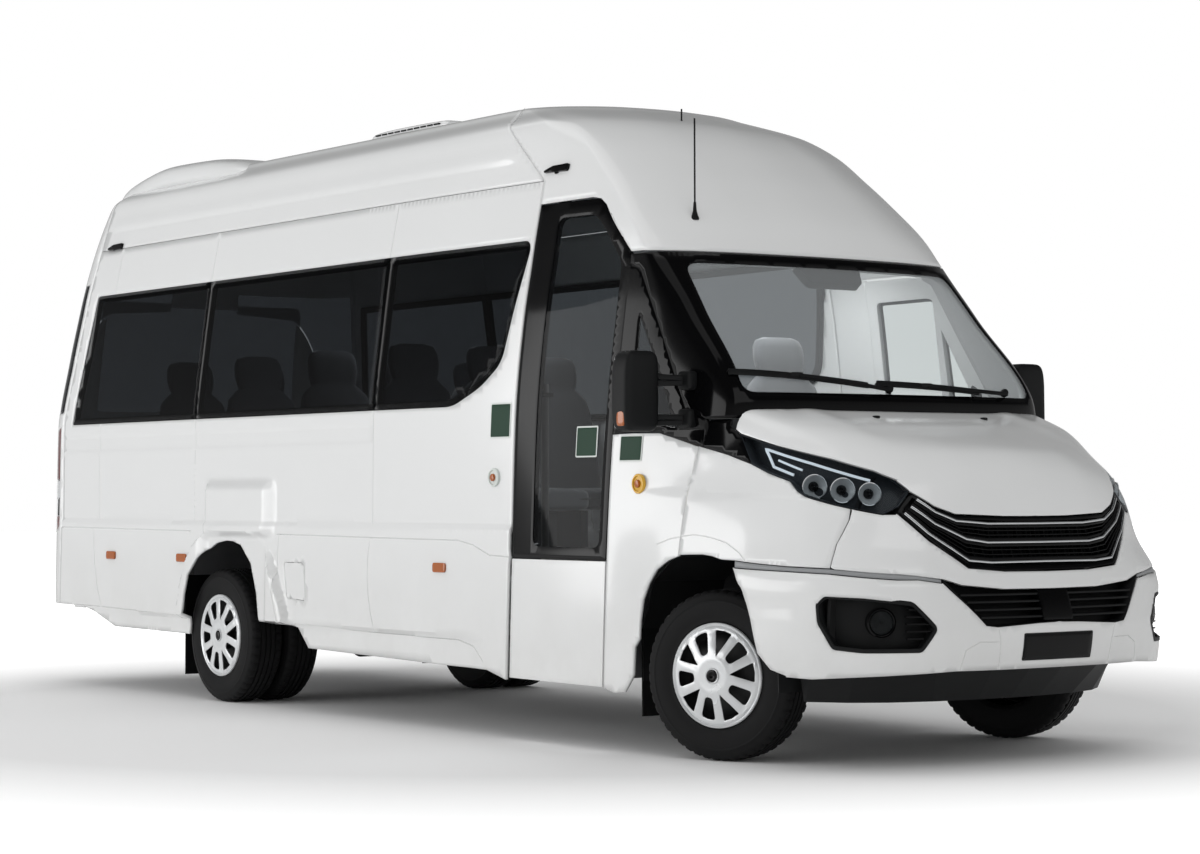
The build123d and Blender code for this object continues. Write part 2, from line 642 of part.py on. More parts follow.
with BuildPart() as fenders:
    for y_range in sides.values():
        add(side_prism(fender_outline, y_range, weld))
        add(side_prism(front_arch, y_range), mode=Mode.SUBTRACT)
    add(nose_wall, mode=Mode.INTERSECT)
    add(front_prism(grille_outline, nose_x_range, panel_gap), mode=Mode.SUBTRACT)
    for z in door_hinges:
        add(block((-121, -60), hinge_arm_y, (z, z + hinge_foot)))
        add(block((-110, -60), (935, hinge_arm_y[1]), (z, z + hinge_foot)))
        with BuildSketch(Plane.XY.offset(z)):
            with Locations(door_axis):
                Circle(hinge_eye)
        extrude(amount=hinge_foot)
        with BuildSketch(Plane.XY.offset(z)):
            with Locations(door_axis):
                Circle(door_pin)
        extrude(amount=hinge_foot + hinge_rise)
fenders.part.label = "front_fenders"
export_step(fenders.part, "parts/front_fenders.step")

with BuildPart() as front_bumper:
    add(nose_wall)
    add(side_prism(bumper_outline, all_y), mode=Mode.INTERSECT)
    add(front_prism(grille_outline, nose_x_range, seat_gap), mode=Mode.SUBTRACT)
    add(front_prism(intake_outline, nose_x_range), mode=Mode.SUBTRACT)
    for y_range in sides.values():
        add(side_prism(fog_outline, y_range), mode=Mode.SUBTRACT)
front_bumper.part.label = "front_bumper"
export_step(front_bumper.part, "parts/front_bumper.step")

with BuildPart() as grilles:
    add(front_prism(grille_outline, nose_x_range))
    add(front_prism(intake_outline, nose_x_range, -seat_gap))
    for y_range in sides.values():
        add(side_prism(fog_outline, y_range, -seat_gap))
    add(nose_wall, mode=Mode.INTERSECT)
grilles.part.label = "grilles"
export_step(grilles.part, "parts/grilles.step")

with BuildPart() as headlamps:
    for y_range in sides.values():
        add(side_prism(lamp_outline, y_range))
    add(nose_wall, mode=Mode.INTERSECT)
    add(front_prism(grille_outline, nose_x_range, seat_gap), mode=Mode.SUBTRACT)
headlamps.part.label = "headlamps"
export_step(headlamps.part, "parts/headlamps.step")

nose_inside = nose_solid(nose_thickness + seat_gap)
rails_ahead = [centred(side_y, rail_width) for side_y in (-rail_y, rail_y)]
with BuildPart() as front_carrier:
    add(nose_inside)
    add(block(carrier_x, all_y, (rail_bottom, 1170)), mode=Mode.INTERSECT)
    for y_range in rails_ahead:
        add(block(grown(carrier_x, 5), y_range, (rail_bottom, rail_top)), mode=Mode.SUBTRACT)
front_carrier.part.label = "front_carrier"
export_step(front_carrier.part, "parts/front_carrier.step")

with BuildPart() as crash_rails:
    for y_range in rails_ahead:
        add(block((rail_front + 50, 1200), y_range, (rail_bottom, 575)))
    add(nose_inside, mode=Mode.INTERSECT)
crash_rails.part.label = "crash_rails"
export_step(crash_rails.part, "parts/crash_rails.step")

with BuildPart() as under_tray:
    add(tray_wall)
    add(block((420, 1100), all_y, (255, rail_bottom - seat_gap)), mode=Mode.INTERSECT)
under_tray.part.label = "under_tray"
export_step(under_tray.part, "parts/under_tray.step")

# ---- chassis and floor ----
with BuildPart() as chassis_frame:
    for side_y in (-rail_y, rail_y):
        add(block((rail_rear, rail_front), centred(side_y, rail_width), (rail_bottom, rail_top)))
        for x in (rear_axle - spring_half, rear_axle + spring_half):
            add(block(centred(x, 60), centred(side_y, 60), (spring_eye_z, rail_bottom)))
    for x in cross_members:
        add(block(centred(x, 80), (-rail_y, rail_y), (rail_bottom + 30, rail_top - 30)))
    add(block((rail_rear - tow_plate_thickness, rail_rear), (-450, 450), (tow_plate_bottom, rail_top)))
    with BuildSketch(Plane.YZ.offset(front_axle_x + rail_rear - tow_plate_thickness)):
        with Locations((0, tow_z)):
            with GridLocations(tow_spacing_y, tow_spacing_z, 2, 2):
                Circle(tow_hole_radius)
    extrude(amount=tow_plate_thickness, mode=Mode.SUBTRACT)
chassis_frame.part.label = "chassis_frame"
export_step(chassis_frame.part, "parts/chassis_frame.step")

with BuildPart() as floor_pan:
    add(block((floor_rear, cab_floor_rear), floor_y, (rail_top, floor_top)))
    add(block(step_x, (-inside_far, step_riser_y), (rail_top, floor_top)), mode=Mode.SUBTRACT)
    for side in (-1, 1):
        outer_edge = side * floor_y[1]
        inner_edge = side * wheel_box_y
        add(block(wheel_box_x, ordered(outer_edge, inner_edge), (rail_top, wheel_box_top)))
        add(block(grown(wheel_box_x, -sheet), ordered(2 * outer_edge, inner_edge + side * sheet),
                  (rail_top - 10, wheel_box_top - sheet)), mode=Mode.SUBTRACT)
    for y_range, z_range in step_boards:
        add(block(step_x, y_range, z_range))
    for y_range, z_range in step_risers:
        add(block(step_x, y_range, z_range))
    for x_range, y_range in step_ends:
        add(block(x_range, y_range, (300, floor_top)))
    add(block((cab_floor_rear - sheet, cab_floor_rear), cab_floor_y, (rail_top, cab_floor_top)))
    add(block((cab_floor_rear - sheet, firewall_x), cab_floor_y, (cab_floor_top - sheet, cab_floor_top)))
    add(block((firewall_x, firewall_x + sheet), (-840, 840), (cab_floor_top - sheet, 1425)))
floor_pan.part.label = "floor_pan"
export_step(floor_pan.part, "parts/floor_pan.step")

with BuildPart() as arch_liners:
    for y_range in liner_sides:
        add(side_prism(liner_outline, y_range, liner_thickness))
        add(side_prism(liner_outline, y_range), mode=Mode.SUBTRACT)
    add(block((-700, 700), all_y, (200, liner_bottom)), mode=Mode.SUBTRACT)
arch_liners.part.label = "arch_liners"
export_step(arch_liners.part, "parts/arch_liners.step")

# ---- engine, tank, exhaust ----
with BuildPart() as engine:
    add(block((60, 640), (-290, 290), (430, 1020)))
    add(block((gearbox_rear, 60), (-140, 140), (430, 700)))
    add(block((300, 360), (rail_width / 2 - rail_y, rail_y - rail_width / 2), (560, 600)))
    add(block((rail_front, rail_front + 50), (-430, 430), (rail_bottom, 980)))
engine.part.label = "engine"
export_step(engine.part, "parts/engine.step")

with BuildPart() as fuel_tank:
    add(block((-2750, -1750), (rail_y + rail_width / 2, 880), (350, 640)))
    fillet(fuel_tank.edges().filter_by(Axis.X), radius=40)
fuel_tank.part.label = "fuel_tank"
export_step(fuel_tank.part, "parts/fuel_tank.step")

with BuildPart() as exhaust:
    with BuildSketch(Plane.YZ.offset(front_axle_x - 3000)):
        with Locations((-600, 470)):
            Circle(95)
    extrude(amount=800)
    with BuildSketch(Plane.YZ.offset(front_axle_x - 3300)):
        with Locations((-600, 470)):
            Circle(30)
            Circle(26, mode=Mode.SUBTRACT)
    extrude(amount=300)
    add(block((-2900, -2860), (-600, -rail_y - rail_width / 2), (565, 585)))
    add(block((-2350, -2310), (-600, -rail_y - rail_width / 2), (565, 585)))
exhaust.part.label = "exhaust"
export_step(exhaust.part, "parts/exhaust.step")

# ---- axles ----
with BuildPart() as front_axle:
    add(block(centred(steer_x, 80), (-kingpin_y, kingpin_y), centred(axle_z, 70)))
    for side in (-1, 1):
        with BuildSketch(Plane.XY.offset(axle_z - 40)):
            with Locations((front_axle_x + steer_x, side * kingpin_y)):
                Circle(eye_radius)
        extrude(amount=80)
        with BuildSketch(Plane.XY.offset(axle_z - 60)):
            with Locations((front_axle_x + steer_x, side * kingpin_y)):
                Circle(kingpin_radius + pin_clearance)
        extrude(amount=120, mode=Mode.SUBTRACT)
        add(block(centred(steer_x, 70), centred(side * rail_y, rail_width), (axle_z + 35, rail_bottom)))
front_axle.part.label = "front_axle"
export_step(front_axle.part, "parts/front_axle.step")

with BuildPart() as rear_axle_beam:
    with BuildSketch(Plane.XZ.offset(-hub_reach)):
        with Locations((front_axle_x + rear_axle, axle_z)):
            Circle(spindle_radius)
    extrude(amount=2 * hub_reach)
    with BuildSketch(Plane.XZ.offset(-540)):
        with Locations((front_axle_x + rear_axle, axle_z)):
            Circle(58)
    extrude(amount=1080)
    with BuildSketch(Plane.XZ.offset(-130)):
        with Locations((front_axle_x + rear_axle, axle_z)):
            Circle(145)
    extrude(amount=260)
    for side_y in (-rail_y, rail_y):
        add(block(centred(rear_axle, 130), centred(side_y, 60), (axle_z, spring_seat_z)))
rear_axle_beam.part.label = "rear_axle"
export_step(rear_axle_beam.part, "parts/rear_axle.step")

with BuildPart() as leaf_springs:
    for side_y in (-rail_y, rail_y):
        add(side_prism(leaf_outline, centred(side_y, 60)))
leaf_springs.part.label = "leaf_springs"
export_step(leaf_springs.part, "parts/leaf_springs.step")

with BuildPart() as drive_shaft:
    with BuildSketch(Plane.YZ.offset(front_axle_x + rear_axle + shaft_start)):
        with Locations((0, axle_z + 60)):
            Circle(38)
    extrude(amount=gearbox_rear - rear_axle - shaft_start)
drive_shaft.part.label = "drive_shaft"
export_step(drive_shaft.part, "parts/drive_shaft.step")

# ---- steering knuckles and wheels ----
for side, sign in (("right", -1), ("left", 1)):
    turned = Plane(
        origin=(front_axle_x + steer_x, sign * kingpin_y, axle_z),
        x_dir=steer_forward, z_dir=(0, 0, 1),
    )
    with BuildPart() as knuckle:
        with BuildSketch(turned.offset(-75)):
            Circle(kingpin_radius)
        extrude(amount=150)
        for z_from in (-75, 45):
            with BuildSketch(turned.offset(z_from)):
                with Locations((0, sign * 20)):
                    Rectangle(50, 90)
            extrude(amount=30)
        with BuildSketch(turned.offset(-75)):
            with Locations((0, sign * 52)):
                Rectangle(50, 26)
        extrude(amount=150)
        with BuildSketch(Plane(origin=turned.origin, x_dir=steer_forward, z_dir=outward(sign)).offset(60)):
            Circle(spindle_radius)
        extrude(amount=front_spindle)
    knuckle.part.label = "knuckle_" + side
    export_step(knuckle.part, "parts/knuckle_" + side + ".step")

    lateral = outward(sign)
    across = Plane(origin=turned.origin, x_dir=lateral, z_dir=cross_up(lateral))
    offset_y = front_wheel_y - kingpin_y
    with BuildPart() as front_tyre:
        with BuildSketch(across):
            Polygon(*[(offset_y + a, r) for a, r in tyre_profile], align=None)
        revolve(axis=Axis(turned.origin, lateral))
    front_tyre.part.label = "front_tyre_" + side
    export_step(front_tyre.part, "parts/front_tyre_" + side + ".step")

    with BuildPart() as front_rim:
        with BuildSketch(across):
            Polygon(*[(offset_y + a, r) for a, r in front_rim_profile], align=None)
        revolve(axis=Axis(turned.origin, lateral))
    front_rim.part.label = "front_rim_" + side
    export_step(front_rim.part, "parts/front_rim_" + side + ".step")

    rear_centre = Vector(front_axle_x + rear_axle, 0, axle_z)
    rear_lateral = (0, sign, 0)
    rear_across = Plane(origin=rear_centre, x_dir=rear_lateral, z_dir=cross_up(rear_lateral))
    with BuildPart() as rear_tyres:
        with BuildSketch(rear_across):
            for wheel_y in (rear_outer_y, rear_inner_y):
                Polygon(*[(wheel_y + a, r) for a, r in tyre_profile], align=None)
        revolve(axis=Axis(rear_centre, rear_lateral))
    rear_tyres.part.label = "rear_tyres_" + side
    export_step(rear_tyres.part, "parts/rear_tyres_" + side + ".step")

    with BuildPart() as rear_rims:
        with BuildSketch(rear_across):
            Polygon(*[(rear_outer_y + a, r) for a, r in rear_rim_profile], align=None)
            Polygon(*[(rear_inner_y + a, r) for a, r in inner_rim_profile], align=None)
        revolve(axis=Axis(rear_centre, rear_lateral))
    rear_rims.part.label = "rear_rims_" + side
    export_step(rear_rims.part, "parts/rear_rims_" + side + ".step")

# ---- entry door gear ----
post = (front_axle_x + post_x, post_y)
pivot = (post[0] + arm_reach, post_y)
with BuildPart() as door_arm:
    with BuildSketch(Plane.XY.offset(arm_levels[0] - 260)):
        with Locations(post):
            Circle(post_radius)
    extrude(amount=post_length)
    for z in arm_levels:
        with BuildSketch(Plane.XY.offset(z)):
            with BuildLine():
                Polyline(post, (post[0] + bow_x, post[1] + bow_y), pivot)
            trace(line_width=2 * arm_half)
        extrude(amount=arm_thickness)
        with BuildSketch(Plane.XY.offset(z)):
            with Locations(pivot):
                Circle(pivot_radius + pin_clearance)
        extrude(amount=arm_thickness, mode=Mode.SUBTRACT)
door_arm.part.label = "door_arm"
export_step(door_arm.part, "parts/door_arm.step")

with BuildPart() as door_pivots:
    for z in arm_levels:
        add(block(centred(post_x + arm_reach, 70), (-990, post_y + 22), (z - 26, z - 2)))
    add(inner_body, mode=Mode.INTERSECT)
    for z in arm_levels:
        with BuildSketch(Plane.XY.offset(z - 2)):
            with Locations(pivot):
                Circle(pivot_radius)
        extrude(amount=arm_thickness + 4)
door_pivots.part.label = "door_pivots"
export_step(door_pivots.part, "parts/door_pivots.step")

with BuildPart() as post_brackets:
    for z in post_bracket_levels:
        with BuildSketch(Plane.XY.offset(z)):
            Polygon(*[(front_axle_x + x, y) for x, y in bracket_outline], align=None)
            with Locations(post):
                Circle(post_radius + pin_clearance, mode=Mode.SUBTRACT)
        extrude(amount=20)
    add(inner_body, mode=Mode.INTERSECT)
post_brackets.part.label = "post_brackets"
export_step(post_brackets.part, "parts/post_brackets.step")

# ---- cabin ----
with BuildPart() as seats:
    for x in seat_rows:
        for y_range in seat_places:
            add(block((x - seat_depth, x), y_range, (cushion_bottom, cushion_top)))
            points = [(x - seat_depth - seat_gap + px, pz) for px, pz in back_outline]
            add(side_prism(points, y_range))
seats.part.label = "seats"
export_step(seats.part, "parts/seats.step")

with BuildPart() as seat_frames:
    for x in seat_rows:
        for y_range in seat_legs:
            add(block((x - seat_depth - 90, x - 60), y_range, (floor_top, cushion_bottom)))
seat_frames.part.label = "seat_frames"
export_step(seat_frames.part, "parts/seat_frames.step")

with BuildPart() as driver_seat:
    add(block((-1080, -600), (220, 700), (cushion_bottom, cushion_top)))
    points = [(-1080 - seat_gap + px, pz) for px, pz in back_outline]
    add(side_prism(points, (220, 700)))
    add(block((-1040, -640), (300, 620), (floor_top, cushion_bottom)))
driver_seat.part.label = "driver_seat"
export_step(driver_seat.part, "parts/driver_seat.step")

with BuildPart() as dashboard:
    add(side_prism(dash_outline, dash_y))
dashboard.part.label = "dashboard"
export_step(dashboard.part, "parts/dashboard.step")

with BuildPart() as steering_wheel:
    with Locations(Plane(origin=wheel_hub, z_dir=wheel_tilt)):
        Torus(wheel_radius, wheel_grip)
        Cylinder(55, 40)
        Box(2 * wheel_radius, 36, 14)
        Cylinder(24, column_length, align=(Align.CENTER, Align.CENTER, Align.MAX))
    add(side_prism(dash_outline, dash_y, seat_gap), mode=Mode.SUBTRACT)
steering_wheel.part.label = "steering_wheel"
export_step(steering_wheel.part, "parts/steering_wheel.step")

# ---- outside fittings ----
for side, sign in (("right", -1), ("left", 1)):
    with BuildPart() as mirror:
        add(block(mirror_x, ordered(sign * mirror_y[0], sign * mirror_y[1]), mirror_z))
        fillet(mirror.edges().filter_by(Axis.Y), radius=35)
        for z in mirror_arm_levels:
            with BuildSketch(Plane.XY.offset(z)):
                Polygon(*[(front_axle_x + x, sign * y) for x, y in mirror_arms[side]], align=None)
            extrude(amount=mirror_arm_height)
        add(outer_body, mode=Mode.SUBTRACT)
        add(nose_outer, mode=Mode.SUBTRACT)
    mirror.part.label = "mirror_" + side
    export_step(mirror.part, "parts/mirror_" + side + ".step")

with BuildPart() as mud_flaps:
    for side in (-1, 1):
        add(block(rear_flap_x, ordered(side * 560, side * 950), (120, rail_top - seat_gap)))
        add(block(front_flap_x, ordered(side * 700, side * 905), (150, 520)))
mud_flaps.part.label = "mud_flaps"
export_step(mud_flaps.part, "parts/mud_flaps.step")

with BuildPart() as fuel_flap:
    add(recess)
    add(side_prism(flap_outline, right_side, -3.0), mode=Mode.INTERSECT)
    add(body_solid(glass_in, lower_levels), mode=Mode.SUBTRACT)
fuel_flap.part.label = "fuel_flap"
export_step(fuel_flap.part, "parts/fuel_flap.step")

with BuildPart() as roof_units:
    add(side_prism(cooler_outline, (-cooler_half, cooler_half)))
    add(block((-6400, -4300), (-110, 110), (2948, 3100)), mode=Mode.SUBTRACT)
    add(side_prism(vent_outline, (-vent_half, vent_half)))
    add(roof_solid, mode=Mode.SUBTRACT)
roof_units.part.label = "roof_units"
export_step(roof_units.part, "parts/roof_units.step")

with BuildPart() as wipers:
    for arc in wiper_arcs:
        with BuildSketch(Plane.XY.offset(wiper_z)):
            with BuildLine():
                ThreePointArc(*[(front_axle_x + x, y) for x, y in arc])
            trace(line_width=14)
        extrude(amount=wiper_rise)
        pivot_x, pivot_y = arc[0]
        add(block((pivot_x - 60, pivot_x), centred(pivot_y, 30), (wiper_z, wiper_z + wiper_rise)))
    add(glass_body, mode=Mode.SUBTRACT)
wipers.part.label = "wipers"
export_step(wipers.part, "parts/wipers.step")
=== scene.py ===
# %% [markdown]
# # A long minibus
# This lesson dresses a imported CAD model. The model gives every body, joint and clearance, and Blender
# gives each visible surface its real shape, edge and finish. The cell below loads that model once. Its
# parts stay where they are, and every piece made later rides on one of its bodies.

# %% Load the frame
import math
import bmesh
import bpy
import numpy as np
from mathutils import Matrix, Vector
from mathutils.geometry import delaunay_2d_cdt


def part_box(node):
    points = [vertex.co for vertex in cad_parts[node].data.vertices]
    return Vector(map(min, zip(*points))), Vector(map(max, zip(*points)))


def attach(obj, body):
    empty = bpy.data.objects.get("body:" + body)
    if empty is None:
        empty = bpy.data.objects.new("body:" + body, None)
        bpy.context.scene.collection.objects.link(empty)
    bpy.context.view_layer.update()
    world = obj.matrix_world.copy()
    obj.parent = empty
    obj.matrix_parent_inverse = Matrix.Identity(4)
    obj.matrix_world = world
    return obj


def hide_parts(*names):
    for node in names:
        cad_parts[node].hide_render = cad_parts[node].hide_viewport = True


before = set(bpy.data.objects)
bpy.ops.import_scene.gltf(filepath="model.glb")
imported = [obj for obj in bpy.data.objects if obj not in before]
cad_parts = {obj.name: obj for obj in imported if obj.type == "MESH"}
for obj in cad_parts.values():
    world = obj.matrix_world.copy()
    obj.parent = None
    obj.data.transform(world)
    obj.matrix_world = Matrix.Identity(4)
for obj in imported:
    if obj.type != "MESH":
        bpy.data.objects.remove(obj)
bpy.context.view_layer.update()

# %% [markdown]
# Lengths below are in millimetres, because body drawings are. The tables count x from the front axle,
# forward positive. One constant moves them into the frame, which is in metres.

# %% Units, sides and the place of the front axle
MM = 0.001
AXLE = 2.6175
SIGN = {"right": -1, "left": 1}
OUTWARD = {"right": (0, -1, 0), "left": (0, 1, 0), "front": (1, 0, 0), "rear": (-1, 0, 0), "up": (0, 0, 1)}


def frame_point(x, y, z):
    """Millimetres from the front axle to metres in the frame."""
    return (x * MM + AXLE, y * MM, z * MM)


def linked(name, data):
    """New object in the scene."""
    added = bpy.data.objects.new(name, data)
    bpy.context.scene.collection.objects.link(added)
    return added


print("front axle at x =", AXLE)

# %% [markdown]
# ## The body surface
# A pressed van body is one smooth surface that is cut into panels along its shut lines. It could be drawn
# by hand with subdivision surfaces, panel by panel, but then neighbours seldom meet. Here the surface comes
# first: a table gives the outline of the body at rising levels, as the CAD does, and a monotone cubic joins
# the points without overshoot. Every panel is then cut out of that one surface.

# %% Smooth interpolation
def smooth_curve(knots, values, samples):
    """Monotone cubic through the knots, so flat stretches stay flat and nothing overshoots."""
    column = (-1, *([1] * (values.ndim - 1)))
    h = np.diff(knots)
    slope = np.diff(values, axis=0) / h.reshape(column)
    tangent = np.zeros_like(values)
    w1 = (2 * h[1:] + h[:-1]).reshape(column)
    w2 = (h[1:] + 2 * h[:-1]).reshape(column)
    same = slope[:-1] * slope[1:] > 0
    safe_a = np.where(same, slope[:-1], 1.0)
    safe_b = np.where(same, slope[1:], 1.0)
    tangent[1:-1] = np.where(same, (w1 + w2) / (w1 / safe_a + w2 / safe_b), 0.0)
    tangent[0] = slope[0]
    tangent[-1] = slope[-1]
    k = np.clip(np.searchsorted(knots, samples, side="right") - 1, 0, len(h) - 1)
    t = ((samples - knots[k]) / h[k]).reshape(column)
    hk = h[k].reshape(t.shape)
    return (
        (2 * t**3 - 3 * t**2 + 1) * values[k] + (t**3 - 2 * t**2 + t) * hk * tangent[k]
        + (3 * t**2 - 2 * t**3) * values[k + 1] + (t**3 - t**2) * hk * tangent[k + 1]
    )


def stepped(counts):
    """Positions that divide each span into its own number of steps."""
    spans = [np.linspace(i, i + 1, n, endpoint=False) for i, n in enumerate(counts)]
    return np.append(np.concatenate(spans), len(counts))


class Shell:
    """A surface given by half outlines at rising levels, sampled as a dense grid."""

    def __init__(self, heights, outlines, columns, rows):
        heights = np.array(heights, float)
        self.z = np.interp(stepped(rows), np.arange(len(heights)), heights)
        rings = []
        for ring in np.array(outlines, float):
            beyond = np.vstack([ring, ring[-2] * (1, -1)])
            length = np.append(0, np.cumsum(np.hypot(*np.diff(beyond, axis=0).T) + 0.01))
            stations = np.interp(stepped(columns), np.arange(len(length)), length)
            rings.append(smooth_curve(length, beyond, stations))
        self.grid = smooth_curve(heights, np.array(rings), self.z)
        self.last = self.grid.shape[1] - 1

    def at(self, i, j):
        """Points at fractional columns and rows."""
        i, j = np.asarray(i, float), np.asarray(j, float)
        i0 = np.clip(i.astype(int), 0, self.grid.shape[1] - 2)
        j0 = np.clip(j.astype(int), 0, self.grid.shape[0] - 2)
        u, v = (i - i0)[:, None], (j - j0)[:, None]
        xy = (
            (1 - v) * ((1 - u) * self.grid[j0, i0] + u * self.grid[j0, i0 + 1])
            + v * ((1 - u) * self.grid[j0 + 1, i0] + u * self.grid[j0 + 1, i0 + 1])
        )
        return np.column_stack([xy, self.z[j0] + v[:, 0] * (self.z[j0 + 1] - self.z[j0])])

    def row(self, z):
        return np.interp(z, self.z, np.arange(len(self.z)))

    def column(self, value, z, axis, first, last):
        """Fractional column where x (axis 0) or y (axis 1) takes the value, at the height z."""
        value, rows = np.broadcast_arrays(np.atleast_1d(value).astype(float), self.row(np.atleast_1d(z)))
        low = np.clip(rows.astype(int), 0, len(self.z) - 2)
        share = (rows - low)[:, None]
        span = slice(first, last + 1)
        line = (1 - share) * self.grid[low, span, axis] + share * self.grid[low + 1, span, axis]
        if line[0, 0] > line[0, -1]:
            line, value = -line, -value
        before = np.clip((line < value[:, None]).sum(axis=1) - 1, 0, last - first - 1)
        each = np.arange(len(value))
        start, stop = line[each, before], line[each, before + 1]
        return first + before + np.clip((value - start) / np.maximum(stop - start, 1e-9), 0, 1)


print("a shell is a grid of outlines, one row for each level")

# %% [markdown]
# The body table: each row is one level. The columns are the height, the x of the rear face, the half
# width of the rear part, the half width at the entry door, then the points round the front corner.

# %% The body levels
REAR_CORNER, MID_STATION, DOOR_STATION = 300, -2500, -1360
BODY_LEVELS = [
    (240, -6200, 1013, 1013, (-350, 1008), (0, 990), (60, 500), 70),
    (500, -6262, 1010, 1006, (-350, 1000), (0, 990), (60, 500), 70),
    (930, -6275, 999, 992, (-350, 980), (0, 966), (60, 500), 70),
    (1450, -6268, 993, 972, (-330, 926), (42, 868), (128, 450), 150),
    (1880, -6212, 945, 925, (-430, 872), (-285, 828), (-186, 420), -167),
    (2118, -6168, 912, 883, (-555, 852), (-482, 802), (-376, 400), -352),
    (2235, -6142, 896, 862, (-640, 846), (-555, 748), (-440, 375), -414),
    (2440, -6100, 856, 822, (-860, 804), (-756, 690), (-640, 345), -614),
    (2556, -6066, 832, 800, (-1000, 780), (-896, 665), (-780, 332), -754),
    (2680, -6020, 803, 782, (-1150, 750), (-1056, 628), (-948, 312), -922),
    (2770, -5970, 780, 765, (-1320, 712), (-1216, 600), (-1112, 300), -1086),
    (2860, -5880, 650, 645, (-1600, 612), (-1500, 512), (-1384, 256), -1356),
    (2895, -5800, 600, 596, (-1740, 560), (-1630, 468), (-1510, 234), -1480),
    (2925, -5400, 120, 118, (-2100, 110), (-2060, 90), (-2020, 50), -2000),
    (2932, -5000, 0, 0, (-2500, 0), (-2480, 0), (-2460, 0), -2450),
]
BODY_ROWS = [8, 14, 18, 14, 8, 5, 8, 6, 6, 5, 8, 6, 16, 6]
BODY_COLUMNS = [16, 8, 10, 60, 40, 36, 16, 16, 14]


def body_half(level):
    """Half outline from the middle of the rear to the middle of the front."""
    z, rear_x, rear_y, door_y, outer, inner, mid, middle_x = level
    door_x = min(DOOR_STATION, outer[0] - 100)
    corner = min(REAR_CORNER, rear_y)
    return [
        (rear_x, 0), (rear_x + 3, max(rear_y - corner, 0)), (rear_x + 42, max(rear_y - 95, 0)),
        (rear_x + 260, rear_y), (MID_STATION, rear_y), (door_x, door_y), outer, inner, mid, (middle_x, 0),
    ]


body_shell = Shell([level[0] for level in BODY_LEVELS], [body_half(level) for level in BODY_LEVELS],
                   BODY_COLUMNS, BODY_ROWS)
body_last = body_shell.last
ALL_COLUMNS = (0, body_last)
SIDE_COLUMNS = (20, 186)
SCREEN_COLUMNS = (150, body_last)
REAR_COLUMNS = (0, 34)
REAR_SIDE_COLUMNS = (6, 90)
print("body grid", body_shell.grid.shape)

# %% [markdown]
# The nose table is made the same way: the half outline at each level, from the side to the middle.

# %% The nose levels
NOSE_LEVELS = [
    (262, (-700, 1002), (300, 985), (560, 930), (700, 830), (790, 700), (850, 520), (880, 300), (890, 0)),
    (400, (-700, 1012), (330, 1012), (600, 945), (760, 850), (870, 740), (950, 590), (1000, 330), (1012, 0)),
    (560, (-700, 1016), (330, 1020), (620, 940), (775, 845), (890, 735), (970, 590), (1028, 330), (1037, 0)),
    (750, (-700, 1012), (300, 1016), (600, 935), (750, 850), (860, 740), (935, 590), (975, 330), (985, 0)),
    (900, (-700, 1000), (250, 988), (530, 915), (680, 820), (790, 700), (870, 540), (920, 300), (930, 0)),
    (1050, (-700, 975), (200, 952), (480, 885), (630, 795), (750, 680), (840, 500), (885, 300), (900, 0)),
    (1150, (-700, 960), (120, 922), (400, 865), (560, 785), (690, 670), (800, 480), (852, 280), (870, 0)),
    (1250, (-700, 945), (40, 898), (300, 850), (450, 775), (585, 640), (690, 460), (755, 260), (780, 0)),
    (1350, (-700, 935), (-20, 886), (200, 846), (330, 775), (420, 640), (450, 460), (470, 260), (480, 0)),
    (1440, (-700, 915), (-70, 880), (30, 850), (90, 790), (130, 640), (150, 460), (165, 260), (170, 0)),
]
NOSE_ROWS = [6, 7, 8, 8, 8, 6, 6, 8, 12]
NOSE_COLUMNS = [40, 12, 10, 8, 10, 10, 12]
nose_shell = Shell([level[0] for level in NOSE_LEVELS], [level[1:] for level in NOSE_LEVELS],
                   NOSE_COLUMNS, NOSE_ROWS)
nose_last = nose_shell.last
NOSE_SIDE = (0, nose_last)
NOSE_FRONT = (40, 102)
print("nose grid", nose_shell.grid.shape)

# %% [markdown]
# ## Cutting panels
# A panel is a flat outline, drawn in a side, front or index view, that is filled with triangles and then
# laid on the shell. A constrained Delaunay triangulation keeps the outline, the windows and the pressed
# lines as real edges. The thickness comes from a Solidify modifier and the rolled edges from a Bevel.

# %% Outline helpers
CORNER_STEPS = 7
CHUNK = 400


def box_loop(x0, x1, z0, z1):
    """Closed rectangle."""
    return [(x0, z0), (x1, z0), (x1, z1), (x0, z1)]


def arc(start, corner, end, count):
    """Rounded corner as a quadratic curve."""
    return [(1 - t) ** 2 * start + 2 * t * (1 - t) * corner + t**2 * end for t in np.linspace(0, 1, count)]


def rounded(points, radius):
    """Closed outline with each corner turned into a short arc; a third value sets its own radius."""
    corners = [(np.array(p[:2], float), p[2] if len(p) > 2 else radius) for p in points]
    loop = []
    for k, (corner, r) in enumerate(corners):
        before, after = corners[k - 1][0], corners[(k + 1) % len(corners)][0]
        a, b = before - corner, after - corner
        la, lb = np.hypot(*a), np.hypot(*b)
        cut = min(r, 0.45 * la, 0.45 * lb)
        if cut < 0.5:
            loop.append(tuple(corner))
        else:
            bend = arc(corner + a / la * cut, corner, corner + b / lb * cut, CORNER_STEPS)
            loop += [tuple(p) for p in bend]
    return loop


